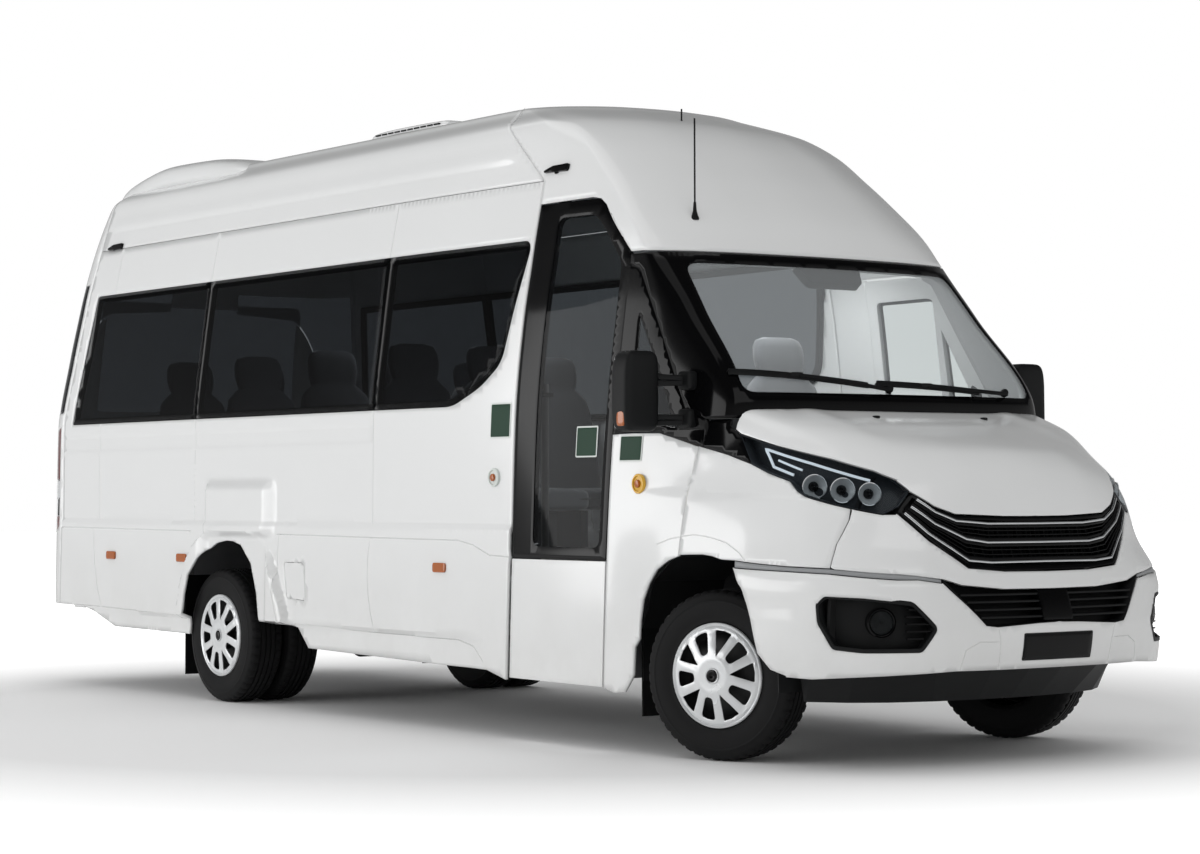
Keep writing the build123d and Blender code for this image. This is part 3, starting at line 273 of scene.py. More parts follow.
def offset_loop(loop, distance):
    """Closed outline moved outward by the distance, or inward where it is negative."""
    pts = np.array(loop, float)
    area = 0.5 * np.sum(pts[:, 0] * np.roll(pts[:, 1], -1) - np.roll(pts[:, 0], -1) * pts[:, 1])
    n = 0
    for run in (pts - np.roll(pts, 1, axis=0), np.roll(pts, -1, axis=0) - pts):
        n = n + np.column_stack([run[:, 1], -run[:, 0]]) / np.maximum(np.hypot(*run.T), 1e-9)[:, None]
    n /= np.maximum(np.sum(n * n, axis=1) / 2, 0.4)[:, None]
    return [tuple(p) for p in pts + n * distance * (1 if area > 0 else -1)]


def divided(points, step, closed=True):
    """Line with no run longer than the step."""
    pts = [np.array(p, float) for p in points]
    runs = zip(pts, pts[1:] + pts[:1]) if closed else zip(pts[:-1], pts[1:])
    out = []
    for a, b in runs:
        count = max(1, int(np.ceil(np.hypot(*(b - a)) / step)))
        out += [a + (b - a) * k / count for k in range(count)]
    return out if closed else out + [pts[-1]]


def within(points, outline, holes=()):
    """True for the points inside the closed outline and outside its holes."""
    pts = np.asarray(points, float)
    inside = np.ones(len(pts), bool)
    for wanted, loop in [(True, outline)] + [(False, hole) for hole in holes]:
        hit = np.zeros(len(pts), bool)
        for a, b in zip(np.asarray(loop, float), np.roll(loop, -1, axis=0)):
            crosses = (a[1] > pts[:, 1]) != (b[1] > pts[:, 1])
            rise = b[1] - a[1] if b[1] != a[1] else 1e-12
            hit ^= crosses & (pts[:, 0] < a[0] + (pts[:, 1] - a[1]) / rise * (b[0] - a[0]))
        inside &= hit == wanted
    return inside


def lattice(x0, x1, y0, y1, pitch):
    """Square grid of points over a rectangle."""
    gx, gy = np.meshgrid(np.arange(x0, x1, pitch), np.arange(y0, y1, pitch))
    return np.column_stack([gx.ravel(), gy.ravel()])


def filled(outline, holes=(), lines=(), grooves=(), step=30, fine=(), groove_half=3.0):
    """Triangles that fill the outline. Returns points, triangles and the points on the groove beds."""
    verts, edges, bed = [], [], set()

    def add_line(points, closed, is_bed=False):
        start = len(verts)
        verts.extend(Vector(p) for p in divided(points, step, closed))
        edges.extend((k, k + 1) for k in range(start, len(verts) - 1))
        if closed:
            edges.append((len(verts) - 1, start))
        if is_bed:
            bed.update(range(start, len(verts)))

    for loop in [outline, *holes]:
        add_line(loop, True)
    for line in lines:
        add_line(line, False)
    for groove in grooves:
        pts = np.array(groove, float)
        along = np.gradient(pts, axis=0)
        side = np.column_stack([along[:, 1], -along[:, 0]]) / np.hypot(*along.T)[:, None] * groove_half
        add_line(pts, False, True)
        add_line(pts + side, False)
        add_line(pts - side, False)
    fixed = np.array([tuple(v) for v in verts])
    low, high = fixed.min(axis=0), fixed.max(axis=0)
    fill = lattice(low[0] + step / 2, high[0], low[1] + step / 2, high[1], step)
    pitch = np.full(len(fill), float(step))
    for x0, x1, y0, y1, small in fine:
        keep = ~((fill[:, 0] > x0) & (fill[:, 0] < x1) & (fill[:, 1] > y0) & (fill[:, 1] < y1))
        extra = lattice(x0, x1, y0, y1, small)
        fill = np.vstack([fill[keep], extra])
        pitch = np.concatenate([pitch[keep], np.full(len(extra), float(small))])
    ok = within(fill, outline, holes)
    fill, pitch = fill[ok], pitch[ok]
    for start in range(0, len(fixed), CHUNK):
        part = fixed[start:start + CHUNK]
        near = np.hypot(fill[:, None, 0] - part[None, :, 0], fill[:, None, 1] - part[None, :, 1]).min(axis=1)
        fill, pitch = fill[near > 0.4 * pitch], pitch[near > 0.4 * pitch]
    verts += [Vector(p) for p in fill]
    out, _, faces, source, _, _ = delaunay_2d_cdt(verts, edges, [], 0, 1e-4)
    points = np.array([tuple(v) for v in out])
    tris = np.array([f for f in faces if len(f) == 3])
    on_bed = [k for k, src in enumerate(source) if any(s in bed for s in src)]
    return points, tris[within(points[tris].mean(axis=1), outline, holes)], on_bed


print("outline helpers ready")

# %% [markdown]
# The next helpers lay flat points on a shell. The side view gives x and z, the front and rear views give
# y and z, and the index view gives a column and a row of the grid, which suits the domed roof and the
# nose. Columns and rows are PITCH units apart there, and the right-hand side is negative.

# %% Laying points on a shell
PITCH = 20.0
WELD = 2e-5
BODY_MIDDLE = (-2500, 0, 1200)


def ramp(value, start, stop):
    """Smooth step from 0 to 1."""
    t = np.clip((value - start) / (stop - start), 0, 1)
    return t * t * (3 - 2 * t)


def on_side(sign, relief=None, push=0.0, shell=body_shell, columns=SIDE_COLUMNS):
    """Function that lays points of the side view on one side of a shell."""
    def lay(points):
        x, z = points.T
        laid = shell.at(shell.column(x, z, 0, *columns), shell.row(z))
        laid[:, 1] += (relief(x, z) if relief else 0) + push
        laid[:, 1] *= sign
        return laid
    return lay


def front_x(shell, columns, y, z):
    """The x of a shell's front, at y and z."""
    y, z = np.broadcast_arrays(np.atleast_1d(y), np.atleast_1d(z).astype(float))
    return shell.at(shell.column(np.abs(y), z, 1, *columns), shell.row(z))[:, 0]


def by_index(shell, points, rear=False, push=0.0):
    """Index points to the surface. Columns count from the front middle, or from the rear middle."""
    s, t = points[:, 0] / PITCH, points[:, 1] / PITCH
    column = np.abs(s) if rear else shell.last - np.abs(s)
    laid = shell.at(column, t)
    if push:
        after, before = (shell.at(np.clip(column + reach, 0, shell.last), t) for reach in (0.4, -0.4))
        side = after - before
        normal = np.column_stack([-side[:, 1], side[:, 0]])
        normal /= np.maximum(np.hypot(*normal.T), 1e-9)[:, None]
        laid[:, :2] += normal * push
    laid[:, 1] *= np.where(s < 0, -1, 1)
    return laid


def on_grid(shell, push=0.0, rear=False):
    """Function that lays index points on a shell."""
    return lambda points: by_index(shell, points, rear, push)


def index_line(shell, points, view, columns, step=25, rear=False):
    """Right-hand line in the side view (x, z) or the front view (y, z), as points of the index view."""
    pts = np.array(divided(points, step, closed=False))
    value = pts[:, 0] if view == "side" else np.abs(pts[:, 0])
    i = shell.column(value, pts[:, 1], 0 if view == "side" else 1, *columns)
    i = i if rear else shell.last - i
    return [(-a * PITCH, b * PITCH) for a, b in zip(i, shell.row(pts[:, 1]))]


def across(loop, columns, rear=False):
    """Opening across the middle of the body, given in the front or rear view."""
    y, z = np.array(divided(loop, 25)).T
    i = body_shell.column(np.abs(y), z, 1, *columns)
    return list(zip(np.sign(y) * (i if rear else body_last - i) * PITCH, body_shell.row(z) * PITCH))


def mirrored(line):
    """Index line on the other side, drawn the other way round."""
    return [(-s, t) for s, t in reversed(line)]


def sided(line, side):
    """The right-hand index line, or its mirror image for the left."""
    return line if side == "right" else mirrored(line)


def both(hole):
    """Opening on both sides."""
    return [hole, mirrored(hole)]


def finish_piece(mesh_data, name, material, facing=None, thick=0.0, bevel=0.0, body="body", sharp=35,
                 hides=()):
    """Mesh from points and faces in millimetres, with its finish, body and edges."""
    points, faces = mesh_data
    mesh = bpy.data.meshes.new(name)
    mesh.from_pydata([frame_point(*p) for p in points], [], [list(map(int, f)) for f in faces])
    work = bmesh.new()
    work.from_mesh(mesh)
    bmesh.ops.remove_doubles(work, verts=work.verts, dist=WELD)
    bmesh.ops.delete(work, geom=[v for v in work.verts if not v.link_faces], context="VERTS")
    bmesh.ops.recalc_face_normals(work, faces=work.faces)
    if facing is not None:
        want = Vector(OUTWARD.get(facing, facing))
        if sum(f.normal.dot(want) * f.calc_area() for f in work.faces) < 0:
            bmesh.ops.reverse_faces(work, faces=work.faces)
    work.to_mesh(mesh)
    work.free()
    mesh.shade_smooth()
    mesh.set_sharp_from_angle(angle=math.radians(sharp))
    mesh.materials.append(material)
    piece = linked(name, mesh)
    if thick:
        solid = piece.modifiers.new("thickness", "SOLIDIFY")
        solid.thickness = thick * MM
        solid.offset = -1.0
        solid.use_even_offset = False
    if bevel:
        edge = piece.modifiers.new("rolled edge", "BEVEL")
        edge.width = bevel * MM
        edge.segments = 2
        edge.limit_method = "ANGLE"
        edge.angle_limit = math.radians(60)
        edge.use_clamp_overlap = True
    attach(piece, body)
    if hides:
        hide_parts(*hides)
    return piece


def joined(*parts):
    """Several meshes as one."""
    points, faces, start = [], [], 0
    for pts, fcs in parts:
        points += [tuple(p) for p in pts]
        faces += [[int(v) + start for v in f] for f in fcs]
        start = len(points)
    return points, faces


def panel(place, outline, holes=(), depth=6.0, **options):
    """Filled outline laid on a shell, with its grooves sunk."""
    points, tris, bed = filled(outline, holes, **options)
    laid = place(points)
    if bed:
        probe = points[bed]
        a, b = place(probe + (0.8, 0)), place(probe + (0, 0.8))
        normal = np.cross(a - laid[bed], b - laid[bed])
        normal /= np.linalg.norm(normal, axis=1)[:, None]
        inward = np.sign(np.sum(normal * (laid[bed] - BODY_MIDDLE), axis=1))[:, None]
        laid[bed] -= normal * inward * depth
    return laid, tris


print("laying helpers ready")

# %% [markdown]
# ## Finishes
# Every finish below starts from what the real surface is. One function turns sRGB hex values into the
# linear light that a shader expects, and one adds a node with its settings and links.

# %% Colour and node helpers
def hex_colour(code):
    """sRGB hex to a linear colour with full alpha."""
    channels = [int(code[k:k + 2], 16) / 255 for k in (1, 3, 5)]
    linear = [c / 12.92 if c <= 0.04045 else ((c + 0.055) / 1.055) ** 2.4 for c in channels]
    return (*linear, 1.0)


def node(tree, kind, settings=(), links=()):
    """Add a node, set its properties and sockets, and link its sockets, by name or number."""
    added = tree.nodes.new(kind)
    for key, value in dict(settings).items():
        if isinstance(key, str) and hasattr(added, key) and key not in added.inputs:
            setattr(added, key, value)
        else:
            added.inputs[key].default_value = value
    for key, source in dict(links).items():
        tree.links.new(source, added.inputs[key])
    return added


def new_material(name):
    """Empty node material and its tree."""
    material = bpy.data.materials.new(name)
    material.use_nodes = True
    material.node_tree.nodes.clear()
    return material, material.node_tree


print("colour and node helpers ready")

# %% [markdown]
# Car paint is a white base under a clear lacquer. The lacquer gives a sharp reflection over a softer one,
# and a real panel is never quite flat: sprayed lacquer has a faint orange peel, about 6 mm across, which
# is drawn here as a very shallow bump. Low down the base turns a touch greyer, in blotches: this is painted
# shade near the ground.

# %% White car paint
def painted(name, code, low_shade_colour):
    """Lacquered paint whose base darkens low down with painted shade."""
    material, tree = new_material(name)
    place = node(tree, "ShaderNodeTexCoord").outputs["Object"]
    split = node(tree, "ShaderNodeSeparateXYZ", links={"Vector": place})
    height = node(tree, "ShaderNodeMapRange",
                  {"From Min": 0.25, "From Max": 0.95, "To Min": 1.0, "To Max": 0.0},
                  {"Value": split.outputs["Z"]})
    cloud = node(tree, "ShaderNodeTexNoise", {"Scale": 3.0, "Detail": 5.0, "Roughness": 0.6},
                 {"Vector": place})
    # painted shade: the base is mixed towards a grey near the ground, in blotches from the cloud
    painted_shade_share = node(tree, "ShaderNodeMath", {"operation": "MULTIPLY"},
                {0: height.outputs["Result"], 1: cloud.outputs["Fac"]})
    mix = node(tree, "ShaderNodeMix", {"data_type": "RGBA", 6: hex_colour(code), 7: hex_colour(low_shade_colour)},
               {"Factor": painted_shade_share.outputs[0]})
    grain = node(tree, "ShaderNodeTexNoise", {"Scale": 160.0, "Detail": 3.0, "Roughness": 0.6},
                 {"Vector": place})
    peel = node(tree, "ShaderNodeBump", {"Strength": 0.02, "Distance": 0.0004},
                {"Height": grain.outputs["Fac"]})
    rough = node(tree, "ShaderNodeMapRange", {"To Min": 0.30, "To Max": 0.38},
                 {"Value": cloud.outputs["Fac"]})
    shader = node(tree, "ShaderNodeBsdfPrincipled",
                  {"IOR": 1.5, "Coat Weight": 1.0, "Coat Roughness": 0.1, "Coat IOR": 1.5},
                  {"Base Color": mix.outputs[2], "Roughness": rough.outputs["Result"],
                   "Normal": peel.outputs["Normal"]})
    node(tree, "ShaderNodeOutputMaterial", links={"Surface": shader.outputs[0]})
    return material


# CFCFCD is the painted shade that greys the paint low down
white_paint = painted("white_car_paint", "#E9EAEA", "#CFCFCD")
print("white lacquered paint")

# %% [markdown]
# Plain mouldings, rubber, cloth and metal share one pattern: a base colour that varies a little, a
# roughness that varies a little, and a grain as bump. The table says what each one is.

# %% Moulded, cast and woven finishes
def surface(name, dark, light, rough, grain_mm, bump_mm, metallic=0.0, coat=0.0, sheen=0.0, gleam=0.5):
    """Two close colours, a roughness range and a grain size, for a common material."""
    material, tree = new_material(name)
    place = node(tree, "ShaderNodeTexCoord").outputs["Object"]
    cloud = node(tree, "ShaderNodeTexNoise", {"Scale": 4.0, "Detail": 4.0, "Roughness": 0.6},
                 {"Vector": place})
    grain = node(tree, "ShaderNodeTexNoise", {"Scale": 1 / (grain_mm * MM), "Detail": 2.0, "Roughness": 0.6},
                 {"Vector": place})
    mix = node(tree, "ShaderNodeMix", {"data_type": "RGBA", 6: hex_colour(dark), 7: hex_colour(light)},
               {"Factor": cloud.outputs["Fac"]})
    bump = node(tree, "ShaderNodeBump", {"Strength": 0.35, "Distance": bump_mm * MM},
                {"Height": grain.outputs["Fac"]})
    rough_map = node(tree, "ShaderNodeMapRange", {"To Min": rough[0], "To Max": rough[1]},
                     {"Value": cloud.outputs["Fac"]})
    shader = node(tree, "ShaderNodeBsdfPrincipled",
                  {"Metallic": metallic, "IOR": 1.5, "Coat Weight": coat, "Coat Roughness": 0.05,
                   "Specular IOR Level": gleam, "Sheen Weight": sheen},
                  {"Base Color": mix.outputs[2], "Roughness": rough_map.outputs["Result"],
                   "Normal": bump.outputs["Normal"]})
    node(tree, "ShaderNodeOutputMaterial", links={"Surface": shader.outputs[0]})
    return material


# columns: dark and light hex, roughness from and to, grain in mm, grain height in mm, then options
gloss_black = surface("gloss_black_acrylic", "#050506", "#09090A", (0.07, 0.12), 3.0, 0.004, gleam=0.2)
matt_black = surface("grained_black_polypropylene", "#101112", "#1A1B1C", (0.42, 0.58), 1.6, 0.15, gleam=0.22)
soft_black = surface("black_weather_rubber", "#0A0A0B", "#131314", (0.55, 0.7), 2.5, 0.1, gleam=0.2)
tyre_rubber = surface("carbon_black_tyre_rubber", "#0D0D0E", "#1B1B1C", (0.55, 0.75), 2.0, 0.12, gleam=0.2)
cover_silver = surface("silver_lacquered_abs", "#D6D8DA", "#E4E6E7", (0.22, 0.3), 1.0, 0.01, metallic=0.3,
                       coat=0.5)
bright_chrome = surface("chromed_abs", "#D5D7D9", "#E6E8EA", (0.08, 0.14), 4.0, 0.005, metallic=1.0)
steel_black = surface("black_chassis_paint", "#0E0F10", "#1A1B1C", (0.4, 0.6), 8.0, 0.2)
cast_metal = surface("sand_cast_iron", "#2A2A2B", "#3A3937", (0.55, 0.8), 3.0, 0.4, metallic=0.6)
bare_steel = surface("rolled_steel", "#6A6A69", "#8B8A88", (0.35, 0.55), 3.0, 0.05, metallic=0.9)
grey_trim = surface("grey_moulded_abs", "#8E9092", "#9A9C9E", (0.4, 0.5), 1.4, 0.06)
cabin_grey = surface("light_grey_cabin_lining", "#B4B5B6", "#C2C3C3", (0.6, 0.75), 2.0, 0.1)
floor_vinyl = surface("speckled_grey_floor_vinyl", "#5A5B5D", "#7A7B7D", (0.5, 0.65), 4.0, 0.15)
amber_lens = surface("amber_polycarbonate", "#9A4A12", "#B5601C", (0.12, 0.2), 5.0, 0.05, coat=0.5)
yellow_plate = surface("yellow_enamel", "#D9A51E", "#E2B02C", (0.3, 0.4), 3.0, 0.02, coat=0.4)
red_lens = surface("red_polycarbonate", "#5A1214", "#701A1B", (0.1, 0.18), 6.0, 0.08, coat=0.7)
clear_lens = surface("frosted_lens_white", "#C9CDD0", "#DADDDF", (0.1, 0.2), 5.0, 0.1, coat=0.7)
green_film = surface("green_vinyl_film", "#06331F", "#083A24", (0.4, 0.5), 2.0, 0.01, gleam=0.3)
pale_film = surface("white_vinyl_film", "#D4DAD6", "#DEE3DF", (0.35, 0.45), 2.0, 0.01)
seat_cloth = surface("woven_grey_seat_cloth", "#3A3C40", "#4A4C50", (0.8, 0.95), 1.8, 0.4, sheen=0.4)
piping_cord = surface("black_seat_piping", "#17181A", "#222326", (0.6, 0.75), 1.0, 0.1, sheen=0.2)
dash_plastic = surface("grey_grained_dashboard", "#4E5052", "#5C5E60", (0.5, 0.65), 1.8, 0.2)
lamp_grey = surface("dark_grey_lamp_housing", "#2B2D31", "#36393D", (0.25, 0.35), 2.0, 0.03, gleam=0.4)
print(len(bpy.data.materials), "finishes so far")

# %% [markdown]
# Glass is shown as thin sheets: light passes straight on, and the shader adds the reflection by its index
# of 1.5. Part of each sheet is a flat veil colour. The windscreen is clear under a pale grey veil, which is a
# painted reflection of the white studio; the driver's panes are clear with a slight grey, the other cab panes
# are tinted, the passenger windows are privacy glass, almost black, and the lamp covers are clear plastic.

# %% Clear and tinted sheets
def glazing(name, tint, see_through, veil_colour):
    """Thin sheet: a tinted view through it under a sharp reflection and a flat veil colour, which where pale
    is a painted reflection.
    """
    material, tree = new_material(name)
    place = node(tree, "ShaderNodeTexCoord").outputs["Object"]
    cloud = node(tree, "ShaderNodeTexNoise", {"Scale": 1.5, "Detail": 2.0, "Roughness": 0.6},
                 {"Vector": place})
    rough = node(tree, "ShaderNodeMapRange", {"To Min": 0.012, "To Max": 0.03},
                 {"Value": cloud.outputs["Fac"]})
    # the base colour is a flat veil; on the windscreen it is pale, a painted reflection of the studio
    shader = node(tree, "ShaderNodeBsdfPrincipled",
                  {"Base Color": hex_colour(veil_colour), "IOR": 1.5, "Coat Weight": 0.3, "Coat Roughness": 0.01},
                  {"Roughness": rough.outputs["Result"]})
    clear = node(tree, "ShaderNodeBsdfTransparent", {"Color": hex_colour(tint)})
    edge = node(tree, "ShaderNodeLayerWeight", {"Blend": 0.5})
    steep = node(tree, "ShaderNodeMath", {"operation": "POWER", 1: 5.0}, {0: edge.outputs["Facing"]})
    share = node(tree, "ShaderNodeMapRange", {"To Min": 1 - see_through, "To Max": 1.0},
                 {"Value": steep.outputs[0]})
    mix = node(tree, "ShaderNodeMixShader",
               links={0: share.outputs["Result"], 1: clear.outputs[0], 2: shader.outputs[0]})
    node(tree, "ShaderNodeOutputMaterial", links={"Surface": mix.outputs[0]})
    return material


clear_glass = glazing("clear_laminated_glass", "#F0F4F3", 0.93, "#8A9094")
# pale grey veil #C2C6C8: painted reflection of the white studio
screen_glass = glazing("acoustic_windscreen_glass", "#EEF2F2", 0.66, "#C2C6C8")
privacy_glass = glazing("privacy_glass", "#A6A9AC", 0.86, "#030304")
door_glass = glazing("tinted_door_glass", "#9FA4A6", 0.84, "#15171A")
lamp_cover = glazing("clear_polycarbonate_lamp_cover", "#E4E9EC", 0.9, "#14171A")
print("four kinds of glass and a lamp cover")

# %% [markdown]
# A lit lamp strip is a diffuser over diodes. It glows a little and stays white.

# %% Lamp strip
def glowing(name, code, strength):
    """White diffuser that glows a little."""
    material, tree = new_material(name)
    place = node(tree, "ShaderNodeTexCoord").outputs["Object"]
    cloud = node(tree, "ShaderNodeTexNoise", {"Scale": 60.0, "Detail": 2.0, "Roughness": 0.6},
                 {"Vector": place})
    rough = node(tree, "ShaderNodeMapRange", {"To Min": 0.15, "To Max": 0.3},
                 {"Value": cloud.outputs["Fac"]})
    shader = node(tree, "ShaderNodeBsdfPrincipled",
                  {"Base Color": hex_colour(code), "Emission Color": hex_colour(code),
                   "Emission Strength": strength, "IOR": 1.49}, {"Roughness": rough.outputs["Result"]})
    node(tree, "ShaderNodeOutputMaterial", links={"Surface": shader.outputs[0]})
    return material


lamp_strip = glowing("white_lamp_diffuser", "#EEF4FA", 0.35)
print("lamp strip")

# %% [markdown]
# ## Side walls
# The long walls carry the window band, a pressed double rib under it, a ledge at axle-cover height, the
# flared rear arch with its bulge, and the lower service panels. The relief is a function of the place on
# the wall, and the lines where it changes are put into the mesh as edges.

# %% Relief of the walls
REAR_AXLE = (-3960, 349)
ARCH_INNER = [(-4400, 345), (-4385, 454), (-4365, 560), (-4330, 663), (-4183, 794), (-4080, 835),
              (-3978, 849), (-3900, 846), (-3817, 828), (-3706, 734), (-3640, 584), (-3612, 440)]
ARCH_OUTER = [(-4470, 440), (-4440, 560), (-4390, 700), (-4310, 815), (-4187, 884), (-4050, 918),
              (-3901, 926), (-3780, 918), (-3662, 888), (-3570, 830), (-3507, 776), (-3440, 690),
              (-3392, 610), (-3309, 440)]
LEDGE = (928, 950)


def radial(x, z, line):
    """How far a point lies inside the arch line, by its angle about the rear axle."""
    line_x, line_z = (np.array(line, float) - REAR_AXLE).T
    x, z = x - REAR_AXLE[0], z - REAR_AXLE[1]
    ring = np.arctan2(line_z, line_x)
    order = np.argsort(ring)
    return np.interp(np.arctan2(z, x), ring[order], np.hypot(line_x, line_z)[order]) - np.hypot(x, z)


def side_relief(x, z):
    """How far the wall stands out: ledge, double rib, bulge, arch lip and tucked foot."""
    out = 12 * (1 - ramp(z, *LEDGE)) * (1 - ramp(x, -1360, -1340))
    out = out - 4 * ramp(z, 1332, 1344) * (1 - ramp(z, 1412, 1424)) * (1 - ramp(x, -2556, -2546))
    bulge = ramp(x, -4236, -4160) * (1 - ramp(x, -3560, -3470)) * (1 - ramp(z, 1105, 1180))
    out = out + 40 * bulge * ramp(z, 860, 900)
    lip = ramp(radial(x, z, ARCH_OUTER), -14, 12)
    out = out + (44 - 40 * bulge) * lip * ramp(z, 425, 445)
    tuck = 1 - ramp(z, 425, 450)
    return out - 16 * tuck * (1 - ramp(x, -1700, -1500))


print("ledge from", LEDGE[0], "to", LEDGE[1], "mm")

# %% [markdown]
# The outline of a wall follows the skirt and the arch. The window band is a hole, and the panes come
# later. Shut lines are V grooves 6 mm wide, which is what a 5 mm gap looks like from a few metres.

# %% Wall panels
WINDOW_BAND = [(-5885, 1490, 12), (-1860, 1490, 60), (-1640, 1575, 60), (-1493, 1680, 60),
               (-1372, 2232, 70), (-5745, 2232, 18)]
WALL = [
    (-5800, 2496), (-5985, 1500), (-5985, 458), (-5656, 456), (-5290, 352), (-4402, 345), *ARCH_INNER[1:],
    (-3300, 432), (-3240, 424), (-3134, 325), (-1932, 303), (-1516, 300), (-1364, 264), (-1362, 300),
    (-1362, 2496),
]
SHUT_LINES = [
    [(-5985, 902), (-4395, 895)],
    [(-3440, 887), (-2557, 881), (-1773, 877), (-1650, 858), (-1514, 813), (-1364, 809)],
    [(-5560, 898), (-5548, 790), (-5533, 698), (-5490, 560), (-5437, 459)],
    [(-3424, 886), (-3436, 800), (-3435, 720), (-3415, 600), (-3386, 516), (-3350, 445)],
    [(-2541, 878), (-2558, 780), (-2558, 685), (-2545, 600), (-2524, 526), (-2492, 445)],
    [(-5800, 459), (-5437, 459), (-4475, 440)],
    [(-3250, 440), (-2492, 426), (-1783, 424), (-1644, 398), (-1560, 340)],
]
SHUT_LINES += [[(x, 2485), (x, 2240)] for x in (-5514, -4360, -2538)]
SHUT_LINES += [[(x, 1484), (x, foot)] for x, foot in ((-5514, 952), (-4360, 960), (-2538, 952))]
LEDGE_LINES = [[(start, z), (stop, z)] for start, stop in ((-5985, -4480), (-3420, -1364)) for z in LEDGE]
LEDGE_LINES += [[(-5985, z), (-2551, z)] for z in (1332, 1344, 1412, 1424)]
LEDGE_LINES += [[(-5600, 425), (-4420, 425)], [(-5600, 450), (-4470, 450)]]
LEDGE_LINES += [[(-3280, z), (-1560, z)] for z in (425, 450)]
ARCH_FINE = (-4600, -3250, 345, 1260, 15)
FLAP_HOLE = rounded([(-3368, 746), (-3172, 745), (-3148, 561), (-3330, 571)], 22)
band = rounded(WINDOW_BAND, 30)
for side, sign in SIGN.items():
    holes = [band] + ([offset_loop(FLAP_HOLE, 2.5)] if side == "right" else [])
    mesh = panel(on_side(sign, side_relief), WALL, holes, lines=LEDGE_LINES + [ARCH_OUTER],
                 grooves=SHUT_LINES, step=34, fine=[ARCH_FINE], depth=5)
    finish_piece(mesh, f"wall_{side}", white_paint, side, 14, hides=[f"body_side_{side}"])
flap_mesh = panel(on_side(-1, side_relief), FLAP_HOLE, step=25)
finish_piece(flap_mesh, "fuel_door", white_paint, "right", 7, 1, "fuel_flap", hides=["fuel_flap"])
print("walls and fuel door")

# %% [markdown]
# The privacy panes are bonded from outside, so they stand almost flush, with a black ceramic border that
# hides the glue and a 6 mm rubber line between neighbours.

# %% Passenger windows
PANE_SPANS = ((-5900, -4373), (-4367, -2543), (-2537, -1300))
for side, sign in SIGN.items():
    loops = [[(min(max(x, x0), x1), z) for x, z in offset_loop(band, -4)] for x0, x1 in PANE_SPANS]
    panes = [panel(on_side(sign, push=-3.0), loop, step=60) for loop in loops]
    finish_piece(joined(*panes), f"passenger_panes_{side}", privacy_glass, side, 5)
    rubber = on_side(sign, push=-7.0)
    seal = panel(rubber, offset_loop(band, 3), [offset_loop(band, -34)], step=60)
    bars = [panel(rubber, box_loop(x - 34, x + 34, 1495, 2228), step=80) for x in (-4370, -2540)]
    finish_piece(joined(seal, *bars), f"window_border_{side}", soft_black, side, 22)
print("six passenger panes with their borders")

# %% [markdown]
# ## Roof, dome and rear
# The roof could be one subdivision surface, but its front dome turns from upright sides to a flat top, so
# a side view would stretch it. Here the outline is drawn in the index view, on the grid of the shell
# itself, and the seams come from leaning planes that cut the shell.

# %% Leaning seams
ROOF_FOOT = 2500
SEAM_SLOPE = (-1911 + 1360) / (2962 - ROOF_FOOT)
REAR_SLOPE = (-5741 + 5800) / (2962 - ROOF_FOOT)
REAR_HALF = (0, 120)


def seam_line(foot, slope, end_column, columns, rear=False):
    """Where a leaning plane cuts the roof, up to the middle."""
    gap = body_shell.grid[:, end_column, 0] - (foot + (body_shell.z - ROOF_FOOT) * slope)
    rows = np.flatnonzero(body_shell.z >= ROOF_FOOT)
    order = rows if gap[rows[0]] < gap[rows[-1]] else rows[::-1]
    high = np.interp(0.0, gap[order], body_shell.z[order])
    z = np.concatenate([np.linspace(ROOF_FOOT, 2860, 24), np.linspace(2866, high, 16)])
    return index_line(body_shell, list(zip(foot + (z - ROOF_FOOT) * slope, z)), "side", columns, 400, rear)


print("seams lean", round(SEAM_SLOPE, 3), "and", round(REAR_SLOPE, 3))

# %% [markdown]
# The dome starts over the windscreen and the doors and ends at a leaning seam.

# %% Front dome and roof
ENTRY_TOP = [
    (-1362, 2500), (-1362, 2392), (-970, 2392), (-905, 2380), (-858, 2350), (-790, 2276), (-640, 2128),
]
DRIVER_TOP = [(-1362, 2500), (-1362, 2108), (-660, 2108), (-640, 2128)]
screen_row = body_shell.row(2122.0) * PITCH
seam = seam_line(-1362, SEAM_SLOPE, body_last, ALL_COLUMNS)
entry_edge = index_line(body_shell, ENTRY_TOP, "side", SIDE_COLUMNS, 15)
driver_edge = index_line(body_shell, DRIVER_TOP, "side", SIDE_COLUMNS, 15)
right_part = [(0, screen_row)] + entry_edge[::-1] + seam[1:-1] + [(0, seam[-1][1])]
left_part = mirrored(seam[1:-1]) + [(-s, t) for s, t in driver_edge]
place_body = on_grid(body_shell)
dome_mesh = panel(place_body, right_part + left_part, step=PITCH)
finish_piece(dome_mesh, "roof_dome", white_paint, "up", 10, hides=["roof_cap"])

rear_seam = seam_line(-5798, REAR_SLOPE, 0, REAR_HALF)
front_seam = seam_line(-1366, SEAM_SLOPE, body_last, ALL_COLUMNS)
base = index_line(body_shell, [(-5798, ROOF_FOOT), (-1366, ROOF_FOOT)], "side", SIDE_COLUMNS, 60)
last_row = (len(body_shell.z) - 1) * PITCH
rear_end = -body_last * PITCH
crown = [(0, front_seam[-1][1]), (0, last_row), (rear_end, last_row), (rear_end, rear_seam[-1][1])]
right_roof = base[1:-1] + front_seam[:-1] + crown + rear_seam[-2::-1]
RIB_FOOT = (2606, 2616)
roof_lines = [
    index_line(body_shell, [(-5700, z), (-1480 - 1.19 * (z - ROOF_FOOT), z)], "side", SIDE_COLUMNS, 60)
    for z in RIB_FOOT
]


